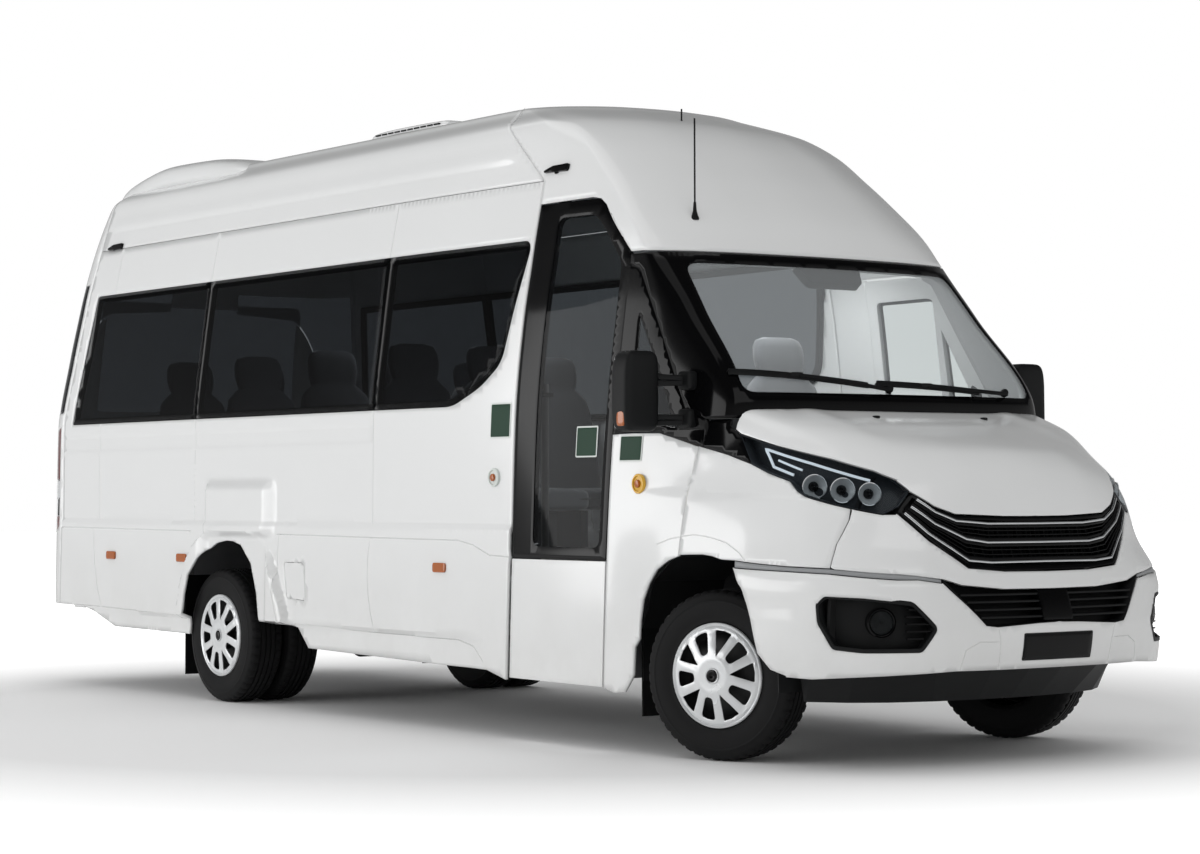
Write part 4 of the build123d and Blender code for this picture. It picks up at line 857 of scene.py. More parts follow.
def roof_place(points):
    """Roof shell with a long rib near each side."""
    laid = by_index(body_shell, points)
    x, y, z = laid.T
    rib = ramp(z, *RIB_FOOT) * (1 - ramp(z, 2650, 2690)) * ramp(x, -5750, -5650) * (1 - ramp(x, -1700, -1560))
    laid[:, 1] += np.sign(y) * 4 * rib
    return laid


half_mesh = panel(roof_place, right_roof, lines=roof_lines, step=PITCH * 1.3)
other = (half_mesh[0] * (1, -1, 1), half_mesh[1])
finish_piece(joined(half_mesh, other), "roof_skin", white_paint, "up", 10, hides=["roof_panel"])
print("dome with", len(dome_mesh[1]), "triangles, roof with", 2 * len(half_mesh[1]))

# %% [markdown]
# The rear end is one pressing round both corners, with openings for the boot lid, the rear window, the
# corner panes and two tall lamps on each side.

# %% Rear wall and boot lid
BOOT = box_loop(-690, 690, 620, 1426)
BOOT_OPENING = box_loop(-690, 690, 620, 1435)
REAR_GLASS = [(-690, 1560), (690, 1560), (670, 2240), (-670, 2240)]
CORNER_GLASS = [(-6215, 1563), (-6010, 1563), (-5880, 2305), (-6140, 2305)]
SIDE_LAMP = [(-6108, 885), (-6050, 905), (-6040, 1480), (-6100, 1460)]
REAR_LAMP = [(-868, 965), (-778, 950), (-778, 1530), (-862, 1545)]


def rear_line(points, view):
    """Right-hand line of the rear end as points of the index view."""
    columns = REAR_COLUMNS if view == "front" else REAR_SIDE_COLUMNS
    return index_line(body_shell, points, view, columns, rear=True)


def rear_hole(points, view, radius, grow=0.0):
    """Right-hand opening given in the rear view or the side view."""
    loop = offset_loop(rounded(points, radius), grow)
    return rear_line(loop + loop[:1], view)[:-1]


def rear_middle(points, radius, grow=0.0):
    """Opening across the middle, given in the rear view."""
    return across(offset_loop(rounded(points, radius), grow), REAR_COLUMNS, True)


edge_side = rear_line([(-5989, 458), (-5989, 1500), (-5802, 2500)], "side")
edge_top = seam_line(-5802, REAR_SLOPE, 0, REAR_HALF, rear=True)
foot_row = float(body_shell.row(458)) * PITCH
half_edge = [(0, foot_row)] + rear_line([(-900, 458), (-940, 458)], "front")[:1] + edge_side + edge_top[1:-1]
rear_outline = half_edge + [(0, edge_top[-1][1])] + [(-s, t) for s, t in half_edge[:0:-1]]
rear_place = on_grid(body_shell, rear=True)
rear_holes = [rear_middle(BOOT_OPENING, 60, 2.5), rear_middle(REAR_GLASS, 50, -26)]
for shape, view, radius in ((CORNER_GLASS, "side", 18), (SIDE_LAMP, "side", 14), (REAR_LAMP, "front", 20)):
    rear_holes += both(rear_hole(shape, view, radius, 2))
rear_mesh = panel(rear_place, rear_outline, rear_holes, step=PITCH)
finish_piece(rear_mesh, "rear_wall_skin", white_paint, "rear", 14, hides=["rear_wall"])
boot_mesh = panel(rear_place, rear_middle(BOOT, 60, -2.5), step=PITCH)
finish_piece(boot_mesh, "boot_lid_skin", white_paint, "rear", 12, 1, "boot_lid", hides=["boot_lid"])
print("rear wall and boot lid")

# %% Rear glass and lamps
panes = [panel(on_grid(body_shell, 1.5, True), rear_middle(REAR_GLASS, 50), step=PITCH * 2)]
for hole in both(rear_hole(CORNER_GLASS, "side", 18)):
    panes.append(panel(on_grid(body_shell, -2, True), hole, step=PITCH))
finish_piece(joined(*panes), "rear_panes", privacy_glass, "rear", 5, hides=["rear_glass"])
# columns: part of the lamp's height from and to, finish, how far it stands out in mm
LAMP_ZONES = [(0.0, 0.13, red_lens, 4), (0.14, 0.30, matt_black, 0), (0.31, 0.48, clear_lens, 3),
              (0.49, 1.0, red_lens, 5)]
for k, (low, high, finish, push) in enumerate(LAMP_ZONES):
    parts = []
    for shape, view in ((SIDE_LAMP, "side"), (REAR_LAMP, "front")):
        z0, z1 = min(z for x, z in shape), max(z for x, z in shape)
        cut = [(x, min(max(z, z0 + low * (z1 - z0)), z0 + high * (z1 - z0))) for x, z in shape]
        for hole in both(rear_hole(cut, view, 10, -1)):
            parts.append(panel(on_grid(body_shell, push - 4, True), hole, step=PITCH))
    hides = ["tail_lamps"] if k == 0 else []
    finish_piece(joined(*parts), f"tail_lamp_zone_{k}", finish, "rear", 14, 1.5, hides=hides)
print("rear panes and tail lamps")

# %% [markdown]
# ## Cab: screen, pillars and doors
# The windscreen is bonded over black pillars, so glass and pillar read as one dark band. The surround is
# one gloss black panel on the same shell, and the pane lies just behind it, larger than its opening.

# %% Windscreen and its surround
CLEAR_AREA = rounded([(-818, 1504), (818, 1504), (752, 2070), (-752, 2070)], 60)
PILLAR = [(-66, 1396), (-188, 1432), (-573, 2050), (-638, 2078), (-640, 2118)]
pillar = index_line(body_shell, PILLAR, "side", SIDE_COLUMNS, 20)
foot, head = (float(body_shell.row(z)) * PITCH for z in (1396, 2118))
frame_outline = [(0, foot)] + pillar + [(0, head)] + mirrored(pillar)
frame_mesh = panel(place_body, frame_outline, [across(CLEAR_AREA, SCREEN_COLUMNS)], step=PITCH)
finish_piece(frame_mesh, "screen_surround", gloss_black, "front", 5, hides=["windscreen_frame"])
glass_loop = across(offset_loop(CLEAR_AREA, 30), SCREEN_COLUMNS)
pane = panel(on_grid(body_shell, -6), glass_loop, step=PITCH * 1.5)
finish_piece(pane, "windscreen_pane", screen_glass, "front", hides=["windscreen"])
print("windscreen with its surround")

# %% [markdown]
# Behind the glass the pillars carry grey lining, and a black housing holds the rain sensor and a camera.

# %% Sensor housing and pillar lining
housing = across(rounded([(-185, 2090), (185, 2090), (150, 2003), (-150, 2003)], 22), SCREEN_COLUMNS)
sensor = panel(on_grid(body_shell, -22), housing, step=PITCH)
finish_piece(sensor, "sensor_housing", matt_black, "front", 40, 2)
inner_frame = [(s * 0.999, t) for s, t in frame_outline]
lining_hole = across(offset_loop(CLEAR_AREA, 6), SCREEN_COLUMNS)
lining = panel(on_grid(body_shell, -24), inner_frame, [lining_hole], step=PITCH * 1.5)
finish_piece(lining, "pillar_lining", cabin_grey, "front", 20)
print("sensor housing and pillar lining")

# %% [markdown]
# The cab sides are white below and black round the quarter window. Low down they swell to meet the
# fender, so the panel blends from the body shell to the nose shell.

# %% Cab side panels
def cab_relief(x, z):
    """Swelling from the body shell out to the nose shell, with a shallow dent."""
    body_y = body_shell.at(body_shell.column(x, z, 0, *SIDE_COLUMNS), body_shell.row(z))[:, 1]
    nose_y = nose_shell.at(nose_shell.column(x, z, 0, *NOSE_SIDE), nose_shell.row(z))[:, 1]
    share = ramp(x, -640, -200) * (1 - ramp(z, 1340, 1430))
    dent = 3 * ramp(z, 1092, 1108) * ramp(x, -460, -380) * (1 - ramp(z, 1150, 1260))
    return (nose_y - body_y) * share - dent


CAB_WHITE = [
    (-646, 268), (-567, 250), (-500, 258), (-439, 331), (-429, 447), (-394, 484), (-388, 560), (-370, 647),
    (-330, 715), (-274, 776), (-200, 815), (-128, 836), (-130, 905), (-136, 1098), (-121, 1282),
    (-136, 1285), (-363, 1341), (-520, 1343), (-646, 1340),
]
CAB_BLACK = [(-646, 1344), (-520, 1347), (-363, 1345), (-136, 1289), (-88, 1278), (-68, 1392), (-190, 1430),
             (-575, 2050), (-640, 2078), (-646, 2078)]
QUARTER = rounded([(-520, 1400), (-255, 1362), (-320, 1500), (-515, 1800), (-545, 1850)], 16)
pillar_z = np.linspace(1300, 2076, 40)
pillar_rows = body_shell.row(pillar_z)
PILLAR_CREASES = [
    list(zip(body_shell.at(np.full(40, float(k)), pillar_rows)[:, 0], pillar_z)) for k in (170, 178, 186)
]
cab_side = on_side(-1, cab_relief)
white = panel(cab_side, CAB_WHITE, grooves=[[(-283, 880), (-200, 903), (-134, 912)]],
              lines=[[(-460, 1108), (-138, 1106)], [(-460, 1092), (-138, 1090)]], step=26, depth=3)
finish_piece(white, "cab_side_white_right", white_paint, "right", 12, hides=["cab_side"])
black = panel(cab_side, CAB_BLACK, [offset_loop(QUARTER, 1.5)], lines=PILLAR_CREASES, step=20)
finish_piece(black, "cab_side_black_right", gloss_black, "right", 12)
pane = panel(on_side(-1, cab_relief, -3), QUARTER, step=30)
finish_piece(pane, "quarter_pane_right", door_glass, "right", hides=["side_windows"])
print("cab side with its quarter window")

# %% [markdown]
# The entry door is a tall glazed leaf: a black frame and a tinted pane above a white kick panel. It
# swings out on an arm, so all of the leaf rides on the door's body, and its seal stays on the wall.

# %% Entry door
DOOR_UPPER = [(-1352, 806), (-656, 806), (-648, 1500), (-640, 2100), (-700, 2190), (-800, 2296), (-860, 2352),
              (-915, 2382), (-1352, 2386)]
DOOR_LOWER = [(-1352, 274), (-656, 270), (-657, 801), (-1352, 801)]
DOOR_PANE = rounded([(-1196, 858), (-704, 858), (-695, 2085), (-842, 2248), (-925, 2312), (-1196, 2316)], 45)
door_face = on_side(-1)
upper = panel(door_face, rounded(DOOR_UPPER, 8), [DOOR_PANE], step=40)
finish_piece(upper, "entry_door_frame", gloss_black, "right", 26, 1, "entry_door", hides=["entry_door"])
lower = panel(door_face, DOOR_LOWER, step=40)
finish_piece(lower, "entry_door_kick_panel", white_paint, "right", 26, 1.5, "entry_door")
pane = panel(on_side(-1, push=-3), offset_loop(DOOR_PANE, 14), step=50)
finish_piece(pane, "entry_door_pane", door_glass, "right", body="entry_door", hides=["entry_door_glass"])
seal_run = [panel(on_side(-1, push=-14), box_loop(x0, x1, 290, 2060), step=40)
            for x0, x1 in ((-1362, -1350), (-658, -643))]
finish_piece(joined(*seal_run), "entry_door_seal", soft_black, "right", 12)
print("entry door")

# %% Driver's door and the far cab side
DRIVER = [
    (-1080, 432), (-482, 432), (-440, 640), (-350, 800), (-250, 880), (-137, 905), (-140, 1098),
    (-125, 1285), (-92, 1290), (-77, 1380), (-195, 1420), (-590, 2040), (-660, 2098), (-1080, 2098),
]
DRIVER_PANE = rounded([(-1015, 1395), (-600, 1388), (-600, 1985), (-640, 1995), (-1015, 1995)], 30)
DRIVER_QUARTER = rounded([(-545, 1385), (-300, 1385), (-560, 1850)], 18)
waist = [(-1070, 1345), (-520, 1345), (-363, 1342), (-140, 1290)]
skin = panel(on_side(1, cab_relief), rounded(DRIVER, 10), [DRIVER_PANE, DRIVER_QUARTER], grooves=[waist],
             lines=PILLAR_CREASES, step=34, depth=2)
finish_piece(skin, "driver_door_skin", white_paint, "left", 24, 1, "driver_door", hides=["driver_door"])
panes = [panel(on_side(1, cab_relief, -4), offset_loop(loop, 12), step=60)
         for loop in (DRIVER_PANE, DRIVER_QUARTER)]
finish_piece(joined(*panes), "driver_door_panes", clear_glass, "left", body="driver_door",
             hides=["driver_door_glass"])
borders = [panel(on_side(1, cab_relief, 0.8), offset_loop(loop, outer), [offset_loop(loop, -inner)], step=50)
           for loop, outer, inner in ((DRIVER_PANE, 16, 16), (DRIVER_QUARTER, 14, 12))]
finish_piece(joined(*borders), "driver_door_borders", soft_black, "left", 3, body="driver_door")
LEFT_PILLAR = [(-1358, 264), (-488, 262), (-484, 426), (-1087, 426), (-1087, 2102), (-1358, 2102)]
left_pillar = panel(on_side(1, side_relief), LEFT_PILLAR, step=34)
finish_piece(left_pillar, "left_door_pillar", white_paint, "left", 14)
handle = panel(on_side(1, cab_relief, 14), rounded(box_loop(-1040, -900, 1268, 1296), 12), step=20)
finish_piece(handle, "driver_door_handle", matt_black, "left", 13, 2, "driver_door")
print("driver's door")

# %% [markdown]
# ## Nose
# Bonnet, fenders and bumper are cut from the nose shell. Lines that wrap round the corner are given in the
# side view as far as the corner, and in the front view after it.

# %% Nose lines
def nose_side(points, step=22):
    return index_line(nose_shell, points, "side", NOSE_SIDE, step)


def nose_front(points, step=22):
    return index_line(nose_shell, points, "front", NOSE_FRONT, step)


def whole(half):
    """Outline of both sides from a right half that starts and ends in the middle."""
    return half + mirrored(half[1:-1])


def middle_at(z):
    """Index point in the middle of the nose at a height."""
    return (0.0, float(nose_shell.row(z)) * PITCH)


def raised(line, rise):
    """Line moved up."""
    return [(a, b + rise) for a, b in line]


LAMP_TOP = [(116, 1326), (306, 1275), (521, 1223), (672, 1175), (752, 1136)]
LAMP_FOOT = [
    (201, 1209), (300, 1172), (413, 1140), (462, 1100), (504, 1079), (609, 1047), (673, 1030), (765, 1007),
]
GRILLE_TOP = [(0, 992), (-170, 993), (-409, 1003), (-491, 1034), (-570, 1092)]
GRILLE_FOOT = [(0, 781), (-231, 783), (-411, 798), (-545, 907), (-640, 1012)]
print("nose lines in place")

# %% Bonnet
BONNET_SIDE = [(752, 1141), (672, 1180), (521, 1228), (306, 1281), (116, 1332), (85, 1350), (87, 1376),
               (93, 1412), (98, 1422), (104, 1429)]
BONNET_REAR = [
    (-780, 1431), (-750, 1432), (-700, 1433), (-640, 1432), (-560, 1431), (-460, 1430), (-260, 1429),
    (-5, 1428),
]
bonnet_half = [
    middle_at(998), *nose_front(raised(GRILLE_TOP, 5))[1:], *nose_front([(-574, 1104), (-600, 1139)]),
    *nose_side(BONNET_SIDE), *nose_front(BONNET_REAR), middle_at(1428),
]


def bonnet_place(points):
    """Nose shell with a soft swelling along each side of the bonnet."""
    laid = by_index(nose_shell, points)
    x, y, z = laid.T
    swell = 6 * np.exp(-((np.abs(y) - 560) / 70) ** 2) * ramp(z, 1270, 1330)
    laid[:, 2] += swell * ramp(x, 60, 200)
    return laid


bonnet_mesh = panel(bonnet_place, whole(bonnet_half), step=PITCH)
finish_piece(bonnet_mesh, "bonnet_skin", white_paint, "up", 12, 1.5, "bonnet", hides=["bonnet"])
print("bonnet with", len(bonnet_mesh[1]), "triangles")

# %% Fenders and quarter panels
FENDER = [
    (-126, 840), (-126, 905), (-134, 1098), (-117, 1283), (60, 1246), (201, 1206), (300, 1169), (411, 1136),
    (460, 1096), (502, 1075), (609, 1043), (670, 1027), (675, 985), (661, 890), (674, 800), (500, 806),
    (232, 824), (150, 826), (90, 838), (25, 844), (-60, 842),
]
QUARTER_PANEL = [(-119, 1287), (60, 1250), (198, 1210), (113, 1324), (50, 1360), (48, 1392), (-64, 1392)]
FENDER_GROOVE = [(-124, 913), (-50, 922), (25, 917), (100, 906), (169, 891), (258, 854), (300, 822)]


def fender_relief(x, z):
    """Step of the fender above its crease."""
    crease_z = 1086 - 0.02 * (x + 130)
    step = 5 * ramp(z, crease_z - 10, crease_z + 6) * (1 - ramp(z, crease_z + 60, crease_z + 160))
    return -step * ramp(x, -140, -60) * (1 - ramp(x, 500, 620))


for side, sign in SIGN.items():
    lay = on_side(sign, fender_relief, shell=nose_shell, columns=NOSE_SIDE)
    skin = panel(lay, FENDER, grooves=[FENDER_GROOVE], step=22, depth=3,
                 lines=[[(-126, 1076), (520, 1064)], [(-126, 1092), (520, 1080)]])
    hides = ["front_fenders"] if side == "right" else []
    finish_piece(skin, f"fender_{side}", white_paint, side, 12, hides=hides)
    finish_piece(panel(lay, QUARTER_PANEL, step=22), f"quarter_panel_{side}", gloss_black, side, 12)
print("fenders")

# %% Bumper
ARCH_FRONT = [(232, 795), (309, 700), (352, 592), (386, 461), (446, 399), (514, 377)]
LENGTH_LIMIT = 1039.5
UPPER_LINES = [
    (nose_front, [(-645, 1004), (-680, 1004)]), (nose_side, [(763, 1003), (674, 1026)]),
    (nose_side, [(677, 1023), (678.5, 985), (664.5, 890), (677.5, 802)]),
    (nose_side, [(690, 796), (873, 778)]),
    (nose_front, [(-640, 771), (-542, 757), (-459, 732), (-256, 713), (-10, 711)]),
]
LOWER_LINES = [
    (nose_front, [(-545, 738), (-640, 752)]), (nose_side, [(878, 752), (680, 774), (500, 782), (240, 791)]),
    (nose_side, ARCH_FRONT), (nose_side, [(514, 372), (620, 367), (797, 380)]),
    (nose_front, [(-700, 388), (-503, 399), (-269, 398), (-10, 398)]),
]
STRIP_LINES = [
    (nose_side, [(236, 820), (500, 801), (675, 794), (873, 775)]), (nose_front, [(-640, 768), (-548, 753)]),
    (nose_front, [(-548, 742), (-640, 755)]), (nose_side, [(878, 756), (680, 778), (500, 786), (240, 795)]),
]


def chained(lines):
    """Index points of several lines, one after the other."""
    return [point for draw, line in lines for point in draw(line)]


def corner_spot(view, value, z):
    """Index point near the corner, placed by its x in the side view or its half width in the front view."""
    axis, columns = (0, NOSE_SIDE) if view == "side" else (1, NOSE_FRONT)
    column = nose_shell.column(value, z, axis, *columns)[0]
    return (-(nose_last - column) * PITCH, float(nose_shell.row(z)) * PITCH)


FOG_OPENING = [("side", 644, 662), ("side", 672, 690), ("side", 800, 684), ("front", 676, 663),
               ("front", 596, 566), ("front", 648, 482), ("side", 800, 480), ("side", 705, 492),
               ("side", 652, 590)]
fog_hole = rounded([corner_spot(*spot) for spot in FOG_OPENING], 14)
upper_half = [middle_at(777), *nose_front(raised(GRILLE_FOOT, -4))[1:], *chained(UPPER_LINES), middle_at(711)]
upper = panel(on_grid(nose_shell), whole(upper_half), step=PITCH)
finish_piece(upper, "bumper_upper", white_paint, "front", 12, hides=["front_bumper"])
lower_front = nose_front([(0, 578), (-107, 576), (-325, 565), (-384, 572), (-542, 740)])[1:]
lower_half = [middle_at(580), *lower_front, *chained(LOWER_LINES), middle_at(398)]


def bumper_place(points):
    """Nose shell with the shoulder of the lower bumper, kept within the length of the vehicle."""
    laid = by_index(nose_shell, points)
    x, y, z = laid.T
    shoulder = 9 * ramp(z, 690, 716) * (1 - ramp(z, 716, 726)) * ramp(np.abs(y), 560, 700)
    laid[:, 0] += shoulder * 0.6
    laid[:, 1] *= 1 + 0.008 * ramp(z, 640, 716) * (1 - ramp(z, 740, 790))
    laid[:, 0] = np.minimum(laid[:, 0], LENGTH_LIMIT)
    return laid


tow_lines = [nose_front([(-323, 568), (-308, 500), (-303, 400)]),
             nose_front([(-484, 404), (-470, 480), (-411, 510), (-312, 508)])]
lower = panel(bumper_place, whole(lower_half), both(fog_hole), step=PITCH, depth=3, groove_half=2.2,
              grooves=tow_lines + [mirrored(line) for line in tow_lines])
finish_piece(lower, "bumper_lower", white_paint, "front", 12)
for side in SIGN:
    strip = panel(on_grid(nose_shell, -4), sided(chained(STRIP_LINES), side), step=PITCH)
    finish_piece(strip, f"bumper_strip_{side}", grey_trim, "front", 8)
print("bumper in two parts with a grey strip")

# %% [markdown]
# ## Lamps, grille and bumper fittings
# Strips and bars follow the nose, so they are swept along lines laid on the shell. A lamp is a dark
# housing sunk behind its cover, with silver bowls and a lit strip inside it.

# %% Sweeping and turning helpers
def ring_faces(spans, count, rings=None):
    """Quads between rings of points. Where the number of rings is given, the last joins the first."""
    wrap = rings or spans + 1
    return [[k * count + j, k * count + (j + 1) % count, (k + 1) % wrap * count + (j + 1) % count,
             (k + 1) % wrap * count + j] for k in range(spans) for j in range(count)]


def end_faces(count, rings):
    """Flat ends of a lofted shape."""
    return [list(range(count)), list(range((rings - 1) * count, rings * count))]


def swept(path, outward, profile, closed=False):
    """Bar along a line. The profile gives sideways and outward offsets; outward is one vector or one each."""
    path = np.array(path, float)
    tangent = np.roll(path, -1, axis=0) - np.roll(path, 1, axis=0) if closed else np.gradient(path, axis=0)
    tangent /= np.linalg.norm(tangent, axis=1)[:, None]
    side = np.cross(tangent, np.broadcast_to(np.array(outward, float), path.shape))
    side /= np.linalg.norm(side, axis=1)[:, None]
    out = np.cross(side, tangent)
    shape = np.array(profile, float)
    points = path[:, None] + side[:, None] * shape[None, :, :1] + out[:, None] * shape[None, :, 1:]
    n, rings = len(shape), len(path)
    if closed:
        return points.reshape(-1, 3), ring_faces(rings, n, rings)
    return points.reshape(-1, 3), ring_faces(rings - 1, n) + end_faces(n, rings)


def bar_profile(width, height, corner):
    """Rounded rectangle about its middle."""
    return rounded(box_loop(-width / 2, width / 2, -height / 2, height / 2), corner)[::2]


def circle(radius, count):
    angles = np.linspace(0, math.tau, count, endpoint=False)
    return [(radius * math.cos(a), radius * math.sin(a)) for a in angles]


def turned(centre, axis, profile, count):
    """Lathe shape: the profile gives radius and distance along the axis."""
    axis = np.array(axis, float) / np.linalg.norm(axis)
    first = np.cross(axis, (0, 0, 1) if abs(axis[2]) < 0.9 else (1, 0, 0))
    first /= np.linalg.norm(first)
    second = np.cross(axis, first)
    angles = np.linspace(0, math.tau, count, endpoint=False)
    spokes = np.cos(angles)[:, None] * first + np.sin(angles)[:, None] * second
    points = np.vstack([np.array(centre) + axis * h + r * spokes for r, h in profile])
    return points, ring_faces(len(profile) - 1, count)


def recess(loop, near, far, step=PITCH):
    """Opening sunk into the nose: a back panel at the far depth and a wall from the near depth to it."""
    line = np.array(divided(loop, 20))
    wall = np.vstack([on_grid(nose_shell, near)(line), on_grid(nose_shell, far)(line)])
    return joined(panel(on_grid(nose_shell, far), loop, step=step), (wall, ring_faces(1, len(line))))


def on_nose(line, push=0.0):
    """Index line on the nose with its outward vectors."""
    pts = np.array(line)
    base = by_index(nose_shell, pts, push=push)
    return base, by_index(nose_shell, pts, push=push + 1) - base


print("sweeping and turning helpers ready")

# %% Headlamps
lamp_loop = (
    nose_side([(88, 1347)] + LAMP_TOP)[:-1] + nose_front([(-603, 1132), (-573, 1096), (-640, 1022)])[:-1]
    + nose_side(LAMP_FOOT[::-1] + [(117, 1316)])
)
SIGNATURE = [(413, 1162), (308, 1195), (244, 1268), (330, 1244), (468, 1206), (600, 1166), (688, 1138)]
SIGNATURE_BAR = [(321, 1221), (441, 1181)]
BOWLS = [(516, 1115, 48), (620, 1101, 48), (708, 1086, 44)]
DISH_SHARES = (0.02, 0.1, 0.25, 0.45, 0.7, 0.9, 1.0)
for side, sign in SIGN.items():
    loop = sided(lamp_loop, side)
    hides = ["headlamps"] if side == "right" else []
    finish_piece(panel(on_grid(nose_shell), loop, step=PITCH), f"lamp_cover_{side}", lamp_cover, "front",
                 hides=hides)
    finish_piece(recess(loop, -1, -60), f"lamp_housing_{side}", lamp_grey, None, 2)
    strips, bowls, bulbs, rims = [], [], [], []
    for line, width in ((SIGNATURE, 11), (SIGNATURE_BAR, 9)):
        strips.append(swept(*on_nose(sided(nose_side(line, 12), side), -16), bar_profile(width, 8, 3)))
    for x, z, radius in BOWLS:
        spot, _ = on_nose(nose_side([(x, z), (x + 1, z)])[:1], -22)
        spot, aim = spot[0] * (1, -sign, 1), np.array([0.86, sign * 0.5, -0.02])
        dish = [(radius * math.sqrt(t), -34 * (1 - t)) for t in DISH_SHARES]
        bowls.append(turned(spot, aim, dish, 40))
        bulbs.append(turned(spot, aim, [(0.1, -8), (14, -12), (20, -20), (21, -30)], 24))
        bezel = [(radius + wider, h) for wider, h in ((-2, -4), (-1, 2), (2, 3), (3, -6))]
        rims.append(turned(spot, aim, bezel, 40))
    finish_piece(joined(*strips), f"lamp_signature_{side}", lamp_strip)
    finish_piece(joined(*bowls), f"lamp_bowls_{side}", cover_silver, "front", 1)
    finish_piece(joined(*bulbs), f"lamp_projectors_{side}", gloss_black, "front", 1)
    finish_piece(joined(*rims), f"lamp_bezels_{side}", bright_chrome, "front", 1)
print("headlamps")

# %% Radiator grille
GRILLE_LINES = [
    [(-556, 1064), (-494, 1016), (-413, 981), (-265, 969), (0, 968)],
    [(-584, 1036), (-503, 970), (-380, 909), (-282, 895), (0, 894)],
    [(-612, 1011), (-539, 934), (-396, 826), (-290, 817), (0, 818)],
]
BLADE_SHARES = (0.14, 0.38, 0.62, 0.86)


def between(first, second, share):
    """Line part of the way from one grille line to the next."""
    a, b = np.array(first, float), np.array(second, float)
    return [tuple(p) for p in a + (b - a) * share]


def full_line(half, push):
    """Line right across the nose, from its right half."""
    index = nose_front(half, 16)
    return on_nose(index[:-1] + mirrored(index), push)


GRILLE_RIM_TOP = [(0, 993), (-170, 994), (-409, 1003), (-491, 1034), (-570, 1092)]
GRILLE_RIM_FOOT = [(-640, 1013), (-545, 908), (-411, 799), (-231, 784), (0, 782)]
grille_loop = whole([middle_at(993), *nose_front(GRILLE_RIM_TOP)[1:], *nose_front(GRILLE_RIM_FOOT)[:-1],
                     middle_at(782)])
rim_outer, rim_inner = (offset_loop(grille_loop, reach) for reach in (-2, -17))
rim = panel(on_grid(nose_shell, -2), rim_outer, [rim_inner], step=PITCH)
finish_piece(rim, "grille_surround", gloss_black, "front", 26, 1, hides=["grilles"])
backing = panel(on_grid(nose_shell, -48), offset_loop(grille_loop, 4), step=PITCH * 1.5)
finish_piece(backing, "grille_backing", matt_black, "front", 3)
chrome = [swept(*full_line(line, 1), bar_profile(11, 12, 4)) for line in GRILLE_LINES]
finish_piece(joined(*chrome), "grille_chrome_strips", bright_chrome)
blades = []
for first, second in zip(GRILLE_LINES, GRILLE_LINES[1:]):
    for share in BLADE_SHARES:
        width = 15 if share in (0.14, 0.86) else 6
        blades.append(swept(*full_line(between(first, second, share), -14), bar_profile(width, 24, 3)))
finish_piece(joined(*blades), "grille_blades", gloss_black)
webs = []
for y in np.arange(-500, 501, 50):
    low = 815 + max(0, abs(y) - 396) * 0.75
    high = 975 + max(0, abs(y) - 413) * 0.45
    index = nose_front([(-abs(y) - 0.01, high), (-abs(y), low)], 20)
    path, out = on_nose(index if y < 0 else [(-s, t) for s, t in index], -30)
    webs.append(swept(path, out, bar_profile(4, 22, 1)))
finish_piece(joined(*webs), "grille_webs", matt_black)
print("grille with", len(chrome), "chromed strips and", len(blades), "blades")

# %% Lower intake with its radar
INTAKE_HALF = [
    (0, 709), (-256, 711), (-459, 730), (-542, 755), (-383, 576), (-329, 568), (-107, 578), (0, 580),
]
intake_loop = whole([middle_at(709), *nose_front(INTAKE_HALF)[1:-1], middle_at(580)])
finish_piece(recess(intake_loop, -2, -70, PITCH * 1.5), "intake_recess", matt_black, None, 3)
slats = [swept(*full_line([(-reach, z), (-reach / 2, z - 1), (0, z - 2)], -26), bar_profile(9, 40, 3))
         for z, reach in ((604, 400), (634, 425), (664, 450), (692, 475))]
finish_piece(joined(*slats), "intake_slats", matt_black)
radar = nose_front([(-82, 588), (-82, 704)], 200)
radar_loop = rounded([radar[0], radar[-1], (-radar[-1][0], radar[-1][1]), (-radar[0][0], radar[0][1])], 6)
cover = panel(on_grid(nose_shell, -2), radar_loop, step=PITCH)
finish_piece(cover, "radar_cover", gloss_black, "front", 34, 3)
print("intake with", len(slats), "slats")

# %% Fog lamp recesses and plate
FOG_LAMP = [
    ("lens", lamp_cover, 0, [(0.1, 12), (24, 10), (40, 5), (46, 0), (46, -30)]),
    ("bowl", cast_metal, 1, [(0.1, -24), (20, -20), (36, -8), (44, 0)]),
    ("bezel", gloss_black, 1, [(46, 2), (52, 4), (58, 0), (58, -30)]),
]
# columns: height of a slat, then y at both ends
FOG_SLATS = ((640, -690, -640), (612, -700, -612), (584, -700, -608), (556, -700, -615), (528, -698, -640))
for side, sign in SIGN.items():
    hole = sided(fog_hole, side)
    finish_piece(recess(hole, -1, -75), f"fog_recess_{side}", matt_black, None, 3)
    lip = panel(on_grid(nose_shell, 1.5), offset_loop(hole, 7), [offset_loop(hole, -7)], step=PITCH)
    finish_piece(lip, f"fog_lip_{side}", matt_black, "front", 10, 1)
    spot, _ = on_nose(nose_front([(-778, 588), (-779, 588)])[:1], -38)
    spot, aim = spot[0] * (1, -sign, 1), (0.9, sign * 0.42, 0.0)
    for kind, finish, thick, profile in FOG_LAMP:
        finish_piece(turned(spot, aim, profile, 40), f"fog_{kind}_{side}", finish, aim, thick)
    rows = []
    for z, y0, y1 in FOG_SLATS:
        line = sided(nose_front([(y0, z), (y1, z)], 12), side)
        rows.append(swept(*on_nose(line, -30), bar_profile(7, 40, 2)))
    finish_piece(joined(*rows), f"fog_slats_{side}", gloss_black)
PLATE_LIMIT = 1036
PLATES = [("number_plate_holder", box_loop(-190, 190, 430, 538), 8, matt_black, 2.5),
          ("number_plate", box_loop(-184, 184, 436, 532), 4, gloss_black, 3.8)]
